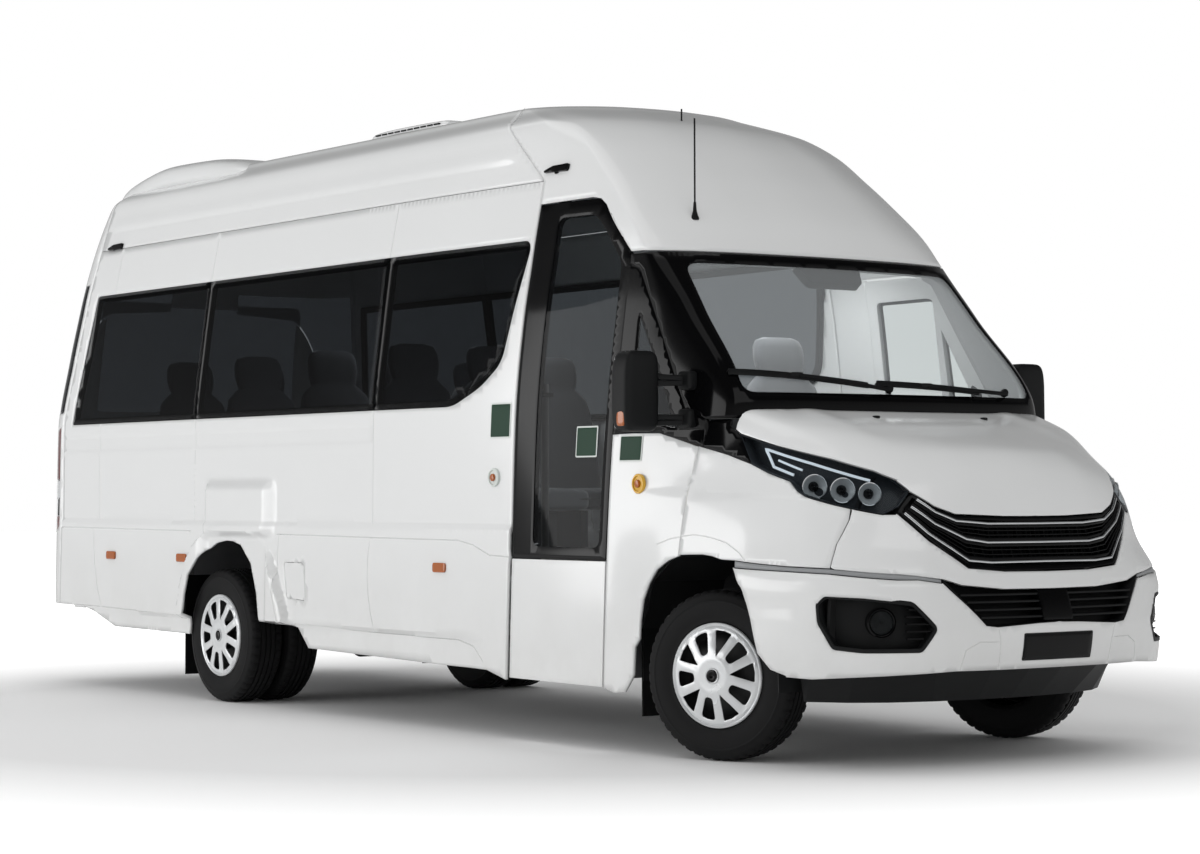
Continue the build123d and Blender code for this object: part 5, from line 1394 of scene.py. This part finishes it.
for name, loop, thick, finish, stand in PLATES:
    def lay(points, stand=stand):
        x = np.minimum(front_x(nose_shell, NOSE_FRONT, *points.T) + stand, PLATE_LIMIT + stand)
        return np.column_stack([x, points])
    finish_piece(panel(lay, rounded(loop, 7), step=30), name, finish, "front", thick, 1)
print("bumper fittings")

# %% [markdown]
# ## Wheels
# A tyre is a lathe shape whose shoulder blocks are cut by stepping the radius round the ring. The cover is
# drawn flat, with five petals split by slots, and then pressed into a dome.

# %% Tyre and cover shapes
TYRE_SIDE = [
    (203, 70), (208, 80), (216, 87), (222, 91), (226, 90), (240, 94.5), (262, 97.3), (284, 97.2),
    (298, 95.8), (300, 96.8), (305, 96.6), (307, 95.2), (322, 91.5), (333, 87), (341, 80), (346, 73),
]
TREAD = [(348, 66), (348, 47), (340, 46), (340, 38), (349, 37), (349, 19), (341, 18), (341, 10), (349.2, 9)]
BLOCKS = 48
STEPPED_AT = (47, 66, 73, 80)
COVER_RADIUS = 203.0
PETAL_START = 42


def tyre(centre, axis):
    """Rounded side walls, four grooves and a shoulder cut into blocks."""
    half = TYRE_SIDE + TREAD
    profile = half + [(r, -h) for r, h in reversed(half)]
    count = BLOCKS * 4
    points, faces = turned((0, 0, 0), (0, 0, 1), profile, count)
    for k, (r, h) in enumerate(profile):
        if abs(h) in STEPPED_AT:
            ring = slice(k * count, (k + 1) * count)
            cut = (np.arange(count) + (2 if h < 0 else 0)) % 4 == 0
            points[ring, :2] *= np.where(cut, 1 - 6.5 / r, 1.0)[:, None]
    axis = np.array(axis, float)
    return np.array(centre) + points @ np.array([np.cross(axis, (0, 0, 1)), (0, 0, 1), axis]), faces


def petal_slot(angle, inner, outer, inner_half, outer_half, radius):
    """Opening that widens outward; its outer end follows the rim."""
    direction = np.array([math.cos(angle), math.sin(angle)])
    sideways = np.array([-direction[1], direction[0]])
    corners = [(inner, -inner_half), (outer, -outer_half), (outer + 5, 0), (outer, outer_half),
               (inner, inner_half)]
    return rounded([tuple(direction * a + sideways * b) for a, b in corners], radius)


cover_holes = []
for k in range(5):
    angle = math.radians(PETAL_START + 72 * k)
    cover_holes.append(petal_slot(angle, 90, 178, 17, 35, 15))
    cover_holes.append(petal_slot(angle + math.radians(36), 84, 182, 2, 40, 7))
cover_outline = circle(COVER_RADIUS, 96)


def wheel_set(name, centre, axis, body, dome, deep, hides):
    """Tyre, dished steel wheel and pressed cover on one axis. The dome is the cover's height at its rim and
    in its middle, and deep is how far out the wheel's disc lies."""
    low, high = dome
    facing = tuple(axis)
    axis = np.array(axis, float)
    ahead = np.cross(axis, (0, 0, 1))
    ahead = ahead if ahead[0] > 0 else -ahead

    def press(points):
        r = np.hypot(*points.T)
        height = low + (high - low) * (1 - ramp(r, 55, 205)) - 5 * ramp(r, 190, 203)
        bead = 3.5 * np.exp(-((r - 195) / 5) ** 2) + 2.5 * np.exp(-((r - 70) / 7) ** 2)
        turn = np.arctan2(points[:, 1], points[:, 0]) - math.radians(PETAL_START + 18)
        ridge = 4 * np.cos(10 * turn) * ramp(r, 80, 110) * (1 - ramp(r, 165, 182))
        laid = np.array(centre) + np.outer(points[:, 0], ahead) + np.outer(points[:, 1], (0, 0, 1))
        return laid + np.outer(height + bead + np.abs(ridge) * 0.8, axis)

    barrel = [(198, 84), (205, 88), (207, 92), (204, 94), (197, 90), (192, 70), (188, deep + 10),
              (170, deep - 8), (120, deep + 16), (74, deep + 18), (72, deep - 12), (0.1, deep - 12)]
    cap = [(0.1, high + 5), (20, high + 4.5), (25, high + 3), (26, high - 2)]
    ring = [(26, high - 1), (27, high + 4), (30, high + 5), (33, high + 2)]
    lip = [(198, 90), (205, 96), (210, 98), (214, 95), (215, 88)]
    finish_piece(tyre(centre, axis), f"tyre_{name}", tyre_rubber, body=body, sharp=32, hides=hides[:1])
    cover = panel(press, cover_outline, cover_holes, step=11)
    finish_piece(cover, f"wheel_cover_{name}", cover_silver, facing, 5, 2.2, body, hides=hides[1:])
    for kind, profile, count, finish, thick in (
            ("steel_wheel", barrel, 64, steel_black, 0), ("wheel_cap", cap, 40, gloss_black, 1),
            ("wheel_cap_ring", ring, 40, cover_silver, 1), ("wheel_rim_lip", lip, 72, cover_silver, 0)):
        finish_piece(turned(centre, axis, profile, count), f"{kind}_{name}", finish, facing, thick, body=body)


def middle_of(node_name):
    """Middle of a CAD node's box, in the units of the tables."""
    low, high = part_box(node_name)
    return np.array([(low.x + high.x) / 2 - AXLE, (low.y + high.y) / 2, (low.z + high.z) / 2]) / MM


STEER = math.radians(19)
TWIN_OUTER, TWIN_INNER = 889.5, 672.0
INNER_DISH = [(206, 86), (190, 76), (186, -20), (120, -60), (70, -62), (0.1, -62)]
for side, sign in SIGN.items():
    outward = (-sign * math.sin(STEER), sign * math.cos(STEER), 0)
    wheel_set(f"front_{side}", middle_of(f"front_tyre_{side}"), outward, f"wheel_front_{side}", (98, 128), 40,
              [f"front_tyre_{side}", f"front_rim_{side}"])
    outer, inner = middle_of(f"rear_tyres_{side}"), middle_of(f"rear_tyres_{side}")
    outer[1], inner[1] = sign * TWIN_OUTER, sign * TWIN_INNER
    wheel = f"wheel_rear_{side}"
    wheel_set(f"rear_{side}", outer, (0, sign, 0), wheel, (96, 104), 30,
              [f"rear_tyres_{side}", f"rear_rims_{side}"])
    finish_piece(tyre(inner, (0, sign, 0)), f"tyre_rear_inner_{side}", tyre_rubber, body=wheel, sharp=32)
    dish = turned(inner, (0, -sign, 0), INNER_DISH, 48)
    finish_piece(dish, f"steel_wheel_rear_inner_{side}", steel_black, (0, -sign, 0), 4, body=wheel)
print("four wheel sets")

# %% [markdown]
# ## Outside fittings
# Mirrors, wipers, marker lamps, signs and aerials are small, but they give the vehicle its scale.

# %% Rounded boxes and bars
def bend(value, power):
    """Signed power, which squares a circle's sine and cosine."""
    return np.sign(value) * np.abs(value) ** power


def pebble(centre, half, power=0.3, count=40, rings=24):
    """Box with fully rounded sides: a superellipsoid of the given half sizes."""
    u = np.linspace(-math.pi / 2, math.pi / 2, rings)
    v = np.linspace(0, math.tau, count, endpoint=False)
    x = bend(np.cos(u), power)[:, None] * bend(np.cos(v), power)
    y = bend(np.cos(u), power)[:, None] * bend(np.sin(v), power)
    z = bend(np.sin(u), power)[:, None] * np.ones(count)
    points = np.array(centre) + np.stack([x, y, z], axis=2).reshape(-1, 3) * half
    return points, ring_faces(rings - 1, count)


def line_bar(points, width, height, corner, outward=(0, 0, 1)):
    """Straight or bent bar through a few points, with its bends rounded."""
    path = [np.array(p, float) for p in points]
    smooth = [path[0]]
    for a, b, c in zip(path, path[1:], path[2:]):
        smooth += arc(b + (a - b) * 0.35, b, b + (c - b) * 0.35, 6)
    smooth.append(path[-1])
    return swept(smooth, outward, bar_profile(width, height, corner))


print("rounded shapes ready")

# %% Mirrors
ARM_PATHS = {"right": [(-262, 1050, 1, 0), (-232, 1012, 1, 1), (-200, 950, 0.8, 1), (-186, 900, 0.5, 1)],
             "left": [(-262, 1050, 1, 0), (-300, 1000, 1, 1), (-345, 905, 0.6, 1)]}
ARM_SECTION = {"right": (22, 24, 9), "left": (20, 16, 6)}
MIRROR_FOOT = {"right": -184, "left": -352}
MIRROR_Z, MIRROR_HALF = 1511, (58, 89, 167)
MIRROR_FLAT, MIRROR_GLASS = -322, -323.5
MIRROR_PANES = [([(1048, 1450), (1190, 1450), (1184, 1664), (1056, 1664)], 22),
                ([(1050, 1356), (1186, 1356), (1190, 1438), (1048, 1438)], 18)]


def mirror_face(points):
    """Plane of the mirror glass."""
    return np.column_stack([np.full(len(points), MIRROR_GLASS), points])


for side, sign in SIGN.items():
    shape, quads = pebble((-272, sign * 1115, MIRROR_Z), MIRROR_HALF, 0.34)
    lean = (shape[:, 2] - MIRROR_Z) / MIRROR_HALF[2]
    shape[:, 0] += 6 * lean**2 - 4
    shape[:, 1] -= sign * 9 * ramp(lean, 0.2, 1.0) * (np.abs(shape[:, 1]) > 1118)
    shape[:, 0] = np.maximum(shape[:, 0], MIRROR_FLAT)
    carrier = "body" if side == "right" else "driver_door"
    finish_piece((shape, quads), f"mirror_head_{side}", matt_black, body=carrier, hides=[f"mirror_{side}"])
    panes = [panel(mirror_face, rounded([(sign * y, z) for y, z in loop], radius), step=40)
             for loop, radius in MIRROR_PANES]
    finish_piece(joined(*panes), f"mirror_glass_{side}", bright_chrome, "rear", 2, body=carrier)
    arms = []
    for z, rise in ((1393, 0), (1573, -16)):
        for shift in (-13, 13):
            path = [(x, sign * y, z + shift * part + rise * up) for x, y, part, up in ARM_PATHS[side]]
            arms.append(line_bar(path, *ARM_SECTION[side]))
    feet = [pebble((MIRROR_FOOT[side], sign * 912, z), (44, 24, 40), 0.4) for z in (1400, 1556)]
    finish_piece(joined(*arms, *feet), f"mirror_arms_{side}", matt_black, body=carrier)
    lens = pebble((-262, sign * 1198, 1400), (26, 6, 34), 0.5)
    finish_piece(lens, f"mirror_repeater_{side}", amber_lens, body=carrier)
print("mirrors with arms, glass and repeaters")

# %% Wipers
def screen_point(y, z, stand):
    """Point a little ahead of the windscreen."""
    return np.array([front_x(body_shell, SCREEN_COLUMNS, y, z)[0] + stand, y, z])


def screen_path(ends, stand):
    """Points of a shallow curve ahead of the windscreen."""
    return [screen_point(y, z, stand) for y, z in arc(*np.array(ends, float), 14)]


WIPERS = {
    "right": ([(-848, 1588), (-555, 1580), (-203, 1540)], [(-87, 1521), (-312, 1554), (-545, 1577)]),
    "left": ([(-146, 1549), (124, 1546), (440, 1524)], [(622, 1519), (389, 1531), (128, 1543)]),
}
for side, (blade, arm) in WIPERS.items():
    rubber = swept(screen_path(blade, 5), (1, 0, 0.5), bar_profile(8, 22, 3))
    spine = swept(screen_path(blade, 14), (1, 0, 0.5), bar_profile(28, 10, 4))
    lever = swept(screen_path(arm, 22), (1, 0, 0.5), bar_profile(17, 9, 3))
    hub = turned(screen_point(*arm[0], -4), (1, 0, 0.6), [(17, 0), (17, 18), (13, 25), (0.1, 27)], 28)
    clip = pebble(screen_point(*blade[1], 19), (9, 34, 10), 0.4)
    finish_piece(rubber, f"wiper_rubber_{side}", soft_black)
    hides = ["wipers"] if side == "right" else []
    finish_piece(joined(spine, lever, hub, clip), f"wiper_arm_{side}", matt_black, hides=hides)


def tray_place(points):
    """Y and a reach ahead of the glass foot, on a tray that slopes forward."""
    y, reach = points.T
    x = front_x(body_shell, SCREEN_COLUMNS, y, 1432) + reach
    return np.column_stack([x, y, 1408 + 0.3 * (30 - reach)])


tray = panel(tray_place, box_loop(-735, 735, -4, 42), step=30)
finish_piece(tray, "cowl_tray", matt_black, "up", 6, hides=["cowl"])
for side, sign in SIGN.items():
    jet = pebble((300, sign * 305, 1402), (16, 12, 7), 0.6, 20, 12)
    finish_piece(jet, f"washer_jet_{side}", matt_black, body="bonnet")
print("wipers, cowl tray and washer jets")

# %% Marker lamps, signs and buttons
for k, (x, stand) in enumerate(((-5319, 10), (-4471, 10), (-1920, 8))):
    for side, sign in SIGN.items():
        loop = rounded(box_loop(x - 52, x + 52, 728, 772), 14)
        lamp = panel(on_side(sign, side_relief, stand), loop, step=14)
        finish_piece(lamp, f"marker_lamp_{k}_{side}", amber_lens, side, 10, 3)
CONTOUR_LAMP = [(-88, -12), (82, -16), (88, 18), (-30, 15), (-92, -2)]
for k, (x, z) in enumerate(((-1268, 2546), (-5616, 2511))):
    for side, sign in SIGN.items():
        loop = rounded([(x + a, z + b) for a, b in CONTOUR_LAMP], 12)
        lamp = panel(on_side(sign, push=12), loop, step=14)
        finish_piece(lamp, f"contour_lamp_{k}_{side}", gloss_black, side, 12, 3)
# columns: name, outline of the border, width of the border, relief, how far it stands out, body
NOTICES = [
    ("rear", (-1547, -1390, 1339, 1499), 7, side_relief, 2.0, "body"),
    ("cab", (-592, -453, 1225, 1337), 6, cab_relief, 2.5, "body"),
    ("door", (-899, -749, 1246, 1381), 7, None, 0.5, "entry_door"),
]
for name, (x0, x1, z0, z1), rim, relief, stand, body in NOTICES:
    inner = box_loop(x0 + rim, x1 - rim, z0 + rim, z1 - rim)
    for label, loop, radius, film, extra in (("_border", box_loop(x0, x1, z0, z1), 8, pale_film, 0.0),
                                             ("", inner, 5, green_film, 1.0)):
        sheet = panel(on_side(-1, relief, stand + extra), rounded(loop, radius), step=20)
        finish_piece(sheet, f"notice_{name}{label}", film, "right", 1, 1 / 3, body)
BUTTON_RIM = [(42, -2), (42, 9), (39, 12), (34, 12), (32, 8)]
BUTTON_PLATE = [(32, 7), (26, 8), (0.1, 9)]
BUTTON_KNOB = [(17, 8), (17, 15), (14, 18), (0.1, 19)]
for name, x, z, relief, film in (("rear", -1503, 1163, side_relief, pale_film),
                                 ("cab", -451, 1131, cab_relief, yellow_plate)):
    spot = on_side(-1, relief)(np.array([[x, z]], float))[0]
    for kind, profile, count, finish in (("rim", BUTTON_RIM, 40, film), ("plate", BUTTON_PLATE, 40, film),
                                         ("knob", BUTTON_KNOB, 32, amber_lens)):
        finish_piece(turned(spot, (0, -1, 0), profile, count), f"call_button_{kind}_{name}", finish)
print("markers, notices and buttons")

# %% Aerials and roof units
AERIAL_FOOT = [(26, -14), (26, -4), (19, 12), (11, 40), (8, 90), (0.1, 96)]
for k, (place, tall, wide) in enumerate((((-535, -596, 2277), 430, 0.75), ((-1175, -171, 2794), 60, 0.3))):
    foot = turned(place, (0, 0, 1), [(r * wide, h * wide) for r, h in AERIAL_FOOT], 28)
    line = [np.array(place) + (0, 0, rise) for rise in (10, tall * 0.6, tall)]
    mast = swept(line, (0, 1, 0), circle(4, 10))
    finish_piece(joined(foot, mast), f"aerial_{k}", matt_black)


def pod(name, line, half, centre_y, crown, power, drop, hides=()):
    """Moulded roof housing: the line gives its top from rear to front, and the sides roll down."""
    line = np.array(line, float)
    sections, count = 70, 33
    x = np.linspace(line[0, 0], line[-1, 0], sections)
    top = smooth_curve(line[:, 0], line[:, 1], x)
    angle = np.linspace(-math.pi / 2, math.pi / 2, count)
    ends = np.clip(np.minimum(x - x[0], x[-1] - x) / 160, 0, 1)
    width = half * (0.82 + 0.18 * np.sqrt(np.clip(1 - (1 - ends) ** 2, 0, 1)))
    low = top - drop - crown
    lift = (crown + drop) * np.abs(np.cos(angle))[None] ** power
    y = centre_y + width[:, None] * bend(np.sin(angle), power)[None]
    points = np.stack([np.repeat(x[:, None], count, 1), y, low[:, None] + lift], axis=2)
    points[0, :, 2] = low[0]
    points[-1, :, 2] = low[-1]
    faces = [[k * count + j, k * count + j + 1, (k + 1) * count + j + 1, (k + 1) * count + j]
             for k in range(sections - 1) for j in range(count - 1)]
    finish_piece((points.reshape(-1, 3), faces), name, white_paint, "up", 6, hides=hides)


COOLER = [
    (-5960, 2790), (-5900, 2858), (-5700, 2925), (-5300, 2974), (-4900, 2966), (-4600, 2935), (-4360, 2870),
]
VENT = [(-3480, 2950), (-3430, 2962), (-3200, 2968), (-2790, 2964), (-2740, 2952)]
for side, sign in SIGN.items():
    hides = ["roof_units"] if side == "right" else []
    pod(f"cooler_hump_{side}", COOLER, 290, sign * 405, 10, 0.5, 130, hides)
    pod(f"roof_vent_{side}", VENT, 150, sign * 300, 4, 0.4, 30)
    ribs = [line_bar([(x, sign * 655, 2846), (x, sign * 640, 2905)], 12, 8, 3, (1, 0, 0))
            for x in range(-5080, -4800, 26)]
    finish_piece(joined(*ribs), f"cooler_louvres_{side}", matt_black)
    slots = [line_bar([(x, sign * 449, 2944), (x + 45, sign * 449, 2944)], 14, 8, 3)
             for x in range(-3400, -2800, 62)]
    finish_piece(joined(*slots), f"vent_slots_{side}", matt_black)
print("aerials and roof units")

# %% [markdown]
# ## Cabin
# The seats are padded: crowned cushions with a stitched centre panel and a piped edge. The dashboard,
# wheel and linings show through the windscreen.

# %% Seats
def upholstered(levels, centre_y, half, stitch=0.55):
    """Loft of rounded sections. Each level gives the middle x, height, half depth and share of the width."""
    count = 44
    v = np.linspace(0, math.tau, count, endpoint=False)
    across, along = bend(np.sin(v), 0.42), bend(np.cos(v), 0.62)
    tuck = 1 - 0.16 * np.exp(-((np.abs(across) - stitch) / 0.045) ** 2)
    points = np.vstack([
        np.column_stack([x + depth * along * tuck, centre_y + half * share * across, np.full(count, z)])
        for x, z, depth, share in levels
    ])
    return points, ring_faces(len(levels) - 1, count) + end_faces(count, len(levels))


def cushion(x_range, y_range, z_range):
    """Seat squab: crowned top, tucked seam lines and rounded edges."""
    (x0, x1), (y0, y1), (z0, z1) = x_range, y_range, z_range
    half = ((x1 - x0) / 2, (y1 - y0) / 2, (z1 - z0) / 2)
    centre = ((x0 + x1) / 2, (y0 + y1) / 2, (z0 + z1) / 2)
    points, faces = pebble(centre, half, 0.38, 56, 28)
    u, v = (points[:, 0] - centre[0]) / half[0], (points[:, 1] - centre[1]) / half[1]
    top = ramp(points[:, 2], centre[2], z1)
    seam = np.exp(-((np.abs(v) - 0.6) / 0.04) ** 2) + np.exp(-((u - 0.35) / 0.04) ** 2) * (np.abs(v) < 0.6)
    points[:, 2] -= top * (10 * (u**2 + v**2) / 2 + 5 * seam)
    return points, faces


def seat_back(x, y_range):
    """Back and headrest over the CAD back: thick at the waist, waisted below the headrest."""
    z = np.array([1064, 1080, 1120, 1250, 1400, 1520, 1590, 1625, 1650, 1675, 1720, 1780, 1812, 1826])
    depth = np.array([30, 40, 46, 48, 46, 42, 38, 32, 24, 28, 33, 33, 27, 12])
    share = np.array([0.90, 0.97, 1.0, 1.0, 0.98, 0.94, 0.86, 0.70, 0.56, 0.60, 0.64, 0.62, 0.54, 0.36])
    middle = x - 45 - (z - 1060) / 580 * 107
    middle = np.where(z > 1640, x - 152 - (z - 1640) * 0.15, middle)
    y0, y1 = y_range
    return upholstered(list(zip(middle, z, depth, share)), (y0 + y1) / 2, (y1 - y0) / 2 - 4)


def piping(x0, x1, y0, y1, z):
    """Cord round the edge of a cushion."""
    path = [(a, b, z) for a, b in rounded(box_loop(x0, x1, y0, y1), 60)]
    return swept(path, (0, 0, 1), circle(3.5, 8), closed=True)


SEAT_ROWS = [-2050, -2830, -3610, -4390]
SEAT_PLACES = [(-920, -475), (-465, -20), (470, 915)]
SQUAB = (1003, 1119)


def add_seat(squab_name, back_name, squab_x, squab_y, back_x, back_y, hides):
    """Padded squab and back of one seat."""
    squab = finish_piece(cushion(squab_x, squab_y, SQUAB), squab_name, seat_cloth, hides=hides)
    rest = finish_piece(seat_back(back_x, back_y), back_name, seat_cloth)


for row, x in enumerate(SEAT_ROWS):
    for k, (y0, y1) in enumerate(SEAT_PLACES):
        add_seat(f"seat_squab_{row}_{k}", f"seat_back_{row}_{k}", (x - 425, x - 5), (y0 + 4, y1 - 4), x - 430,
                 (y0, y1), ["seats"] if row + k == 0 else [])
cords = [piping(x - 420, x - 10, y0 + 8, y1 - 8, 1064) for x in SEAT_ROWS for y0, y1 in SEAT_PLACES]
finish_piece(joined(*cords), "seat_piping", piping_cord)
add_seat("driver_squab", "driver_back", (-1078, -604), (226, 694), -1080, (226, 694), ["driver_seat"])
base = panel(lambda points: np.column_stack([points, np.full(len(points), 1000.0)]),
             rounded(box_loop(-1035, -645, 310, 610), 30), step=60)
finish_piece(base, "driver_seat_base", steel_black, "up", 280, 6)
print(len(SEAT_ROWS) * len(SEAT_PLACES), "passenger seats and the driver's")

# %% Dashboard and steering wheel
DASH = [
    (-425, 1122), (-398, 1336), (-378, 1366), (-330, 1396), (-240, 1414), (-110, 1426), (-110, 970),
    (-250, 970), (-300, 1092),
]


def side_prism(outline, y0, y1, bow=0.0, slices=40):
    """Prism across the vehicle whose rear edge can bow."""
    x, z = np.array(outline, float).T
    n, reach = len(x), max(abs(y0), abs(y1))
    points = np.vstack([
        np.column_stack([x + bow * (y / reach) ** 2 * (x < -200), np.full(n, y), z])
        for y in np.linspace(y0, y1, slices)
    ])
    return points, ring_faces(slices - 1, n) + end_faces(n, slices)


finish_piece(side_prism(rounded(DASH, 22), -795, 795, 14), "dashboard_moulding", dash_plastic,
             hides=["dashboard"])
HOOD = [(-400, 1350), (-396, 1402), (-330, 1440), (-240, 1432), (-230, 1405), (-330, 1380)]
finish_piece(side_prism(rounded(HOOD, 14), 270, 630), "instrument_hood", matt_black)
vents = []
for y in (-700, -120, 120, 700):
    for z in (1262, 1276, 1290, 1304):
        x = -404 + (1262 - z) * -0.1
        vents.append(line_bar([(x, y - 60, z), (x, y + 60, z)], 8, 5, 2))
finish_piece(joined(*vents), "dashboard_vents", gloss_black)
radio = panel(lambda points: np.column_stack([-412 + 0.12 * (points[:, 1] - 1180), points]),
              rounded(box_loop(-95, 95, 1140, 1245), 8), step=40)
finish_piece(radio, "radio_panel", gloss_black, "rear", 8, 1.5)
HUB = np.array([-560, 450, 1330], float)
TILT = np.array([-0.62, 0, 0.78]) / np.hypot(0.62, 0.78)
FACE_UP = np.array([TILT[2], 0, -TILT[0]])
ring_path = [HUB + 194 * (math.cos(a) * FACE_UP + math.sin(a) * np.array([0, 1, 0]))
             for a in np.linspace(0, math.tau, 72, endpoint=False)]
rim = swept(ring_path, TILT, circle(14, 14), closed=True)
spokes = []
for d in (np.array([0, 1.0, 0]), np.array([0, -1.0, 0]), -FACE_UP):
    line = [HUB + 50 * d - 6 * TILT, HUB + 120 * d - 2 * TILT, HUB + 188 * d]
    spokes.append(swept(line, TILT, bar_profile(40, 14, 6)))
boss = turned(HUB - 24 * TILT, TILT, [(62, 0), (66, 16), (56, 34), (30, 42), (0.1, 44)], 40)
column = turned(HUB - 250 * TILT, TILT, [(36, 0), (30, 120), (30, 226), (44, 230)], 32)
finish_piece(joined(rim, *spokes, boss, column), "steering_wheel_padded_rim", matt_black,
             hides=["steering_wheel"])
print("dashboard and steering wheel")

# %% [markdown]
# What stays as the CAD made it gets its own finish and a small broken edge: the chassis, the axles, the
# floor and the gear of the doors.

# %% Finishes of the shown CAD pieces
SHOWN = {
    steel_black: ["chassis_frame", "front_carrier", "crash_rails", "fuel_tank", "seat_frames",
                  "post_brackets", "leaf_springs"],
    cast_metal: ["engine", "front_axle", "rear_axle", "knuckle_right", "knuckle_left"],
    bare_steel: ["exhaust", "drive_shaft", "door_pivots", "door_arm"],
    matt_black: ["under_tray", "arch_liners"],
    soft_black: ["mud_flaps"],
    floor_vinyl: ["floor_pan"],
}
for material, names in SHOWN.items():
    for name in names:
        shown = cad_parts[name]
        shown.data.materials.clear()
        shown.data.materials.append(material)
        edge = shown.modifiers.new("broken edge", "BEVEL")
        edge.width = 2 * MM
        edge.segments = 2
        edge.limit_method = "ANGLE"
        edge.angle_limit = math.radians(50)
print(sum(len(names) for names in SHOWN.values()), "CAD pieces finished")

# %% [markdown]
# ## Studio and camera
# The vehicle stands on a white floor under large soft lamps, as in a catalogue. The floor is a pale grey
# that the camera sees as white where no shadow falls, so the lamps can stay at a plain level.

# %% Floor and backdrop
WHITE = (1, 1, 1, 1)


def studio_white(name, base):
    """Pale floor that lifts to white for the camera away from the shadow."""
    material, tree = new_material(name)
    place = node(tree, "ShaderNodeTexCoord").outputs["Object"]
    reach = node(tree, "ShaderNodeVectorMath", {"operation": "LENGTH"}, {0: place})
    lift = node(tree, "ShaderNodeMapRange", {"From Min": 3.2, "From Max": 7.5, "To Min": 0.0, "To Max": 1.0},
                {"Value": reach.outputs["Value"]})
    path = node(tree, "ShaderNodeLightPath")
    seen = node(tree, "ShaderNodeMath", {"operation": "MULTIPLY"},
                {0: lift.outputs["Result"], 1: path.outputs["Is Camera Ray"]})
    shader = node(tree, "ShaderNodeBsdfPrincipled",
                  {"Base Color": hex_colour(base), "Roughness": 0.9, "Emission Color": WHITE},
                  {"Emission Strength": seen.outputs[0]})
    node(tree, "ShaderNodeOutputMaterial", links={"Surface": shader.outputs[0]})
    return material


floor_mesh = bpy.data.meshes.new("floor")
floor_mesh.from_pydata([(-60, -60, 0), (60, -60, 0), (60, 60, 0), (-60, 60, 0)], [], [(0, 1, 2, 3)])
floor_mesh.materials.append(studio_white("matt_white_studio_floor", "#F4F4F4"))
linked("studio_floor", floor_mesh)

WORLD_FILL = 0.62
world = bpy.data.worlds.new("studio")
bpy.context.scene.world = world
world.use_nodes = True
tree = world.node_tree
tree.nodes.clear()
place = node(tree, "ShaderNodeTexCoord")
split = node(tree, "ShaderNodeSeparateXYZ", links={"Vector": place.outputs["Generated"]})
ceiling = node(tree, "ShaderNodeMapRange",
               {"From Min": 0.10, "From Max": 0.42, "To Min": 0.4, "To Max": 0.05},
               {"Value": split.outputs["Z"]})
around = node(tree, "ShaderNodeBackground", {"Color": WHITE, "Strength": WORLD_FILL})
reflected = node(tree, "ShaderNodeBackground", {"Color": WHITE}, {"Strength": ceiling.outputs["Result"]})
seen = node(tree, "ShaderNodeBackground", {"Color": WHITE, "Strength": 1.0})
path = node(tree, "ShaderNodeLightPath")
gloss_mix = node(tree, "ShaderNodeMixShader",
                 links={0: path.outputs["Is Glossy Ray"], 1: around.outputs[0], 2: reflected.outputs[0]})
mix = node(tree, "ShaderNodeMixShader",
           links={0: path.outputs["Is Camera Ray"], 1: gloss_mix.outputs[0], 2: seen.outputs[0]})
node(tree, "ShaderNodeOutputWorld", links={"Surface": mix.outputs[0]})
bpy.context.scene.view_settings.view_transform = "Standard"
print("floor and world")

# %% Lamps and camera
CENTRE = Vector((0.0, 0.0, 1.2))


def area_lamp(name, place, size, watts, aimed=True):
    """Rectangular lamp that faces the vehicle, or straight down."""
    data = bpy.data.lights.new(name, "AREA")
    data.shape = "RECTANGLE"
    data.size, data.size_y = size
    data.energy = watts
    lamp = linked(name, data)
    lamp.location = place
    if aimed:
        lamp.rotation_euler = (CENTRE - Vector(place)).to_track_quat("-Z", "Y").to_euler()


area_lamp("overhead_softbox", (-1.0, -2.0, 8.0), (9.0, 5.0), 84)
area_lamp("side_softbox", (-4.0, -11.0, 2.9), (12.0, 4.5), 410)
area_lamp("front_softbox", (7.5, -1.5, 4.6), (4.0, 3.0), 36)
area_lamp("cab_lamp", frame_point(-1150, 0, 2200), (0.5, 1.1), 22, False)
area_lamp("saloon_lamp", frame_point(-3300, 0, 2200), (0.5, 1.1), 12, False)

CAMERA_PLACE = (8.797 + AXLE, -7.892, 1.099)
AZIMUTH, ELEVATION, ROLL = math.radians(53.97), math.radians(-1.341), math.radians(-0.158)
FOCAL_PIXELS, FRAME_PIXELS, SENSOR = 2753.0, 1200, 36.0
forward = Vector((-math.sin(AZIMUTH) * math.cos(ELEVATION), math.cos(AZIMUTH) * math.cos(ELEVATION),
                  -math.sin(ELEVATION)))
level_right = Vector((math.cos(AZIMUTH), math.sin(AZIMUTH), 0))
level_up = level_right.cross(forward)
right = math.cos(ROLL) * level_right + math.sin(ROLL) * level_up
up = -math.sin(ROLL) * level_right + math.cos(ROLL) * level_up
camera_data = bpy.data.cameras.new("camera")
camera_data.sensor_width = SENSOR
camera_data.lens = FOCAL_PIXELS / FRAME_PIXELS * SENSOR
camera = linked("camera", camera_data)
camera.matrix_world = Matrix((*zip(right, up, -forward, CAMERA_PLACE), (0, 0, 0, 1)))
bpy.context.scene.camera = camera
print("camera at", CAMERA_PLACE)
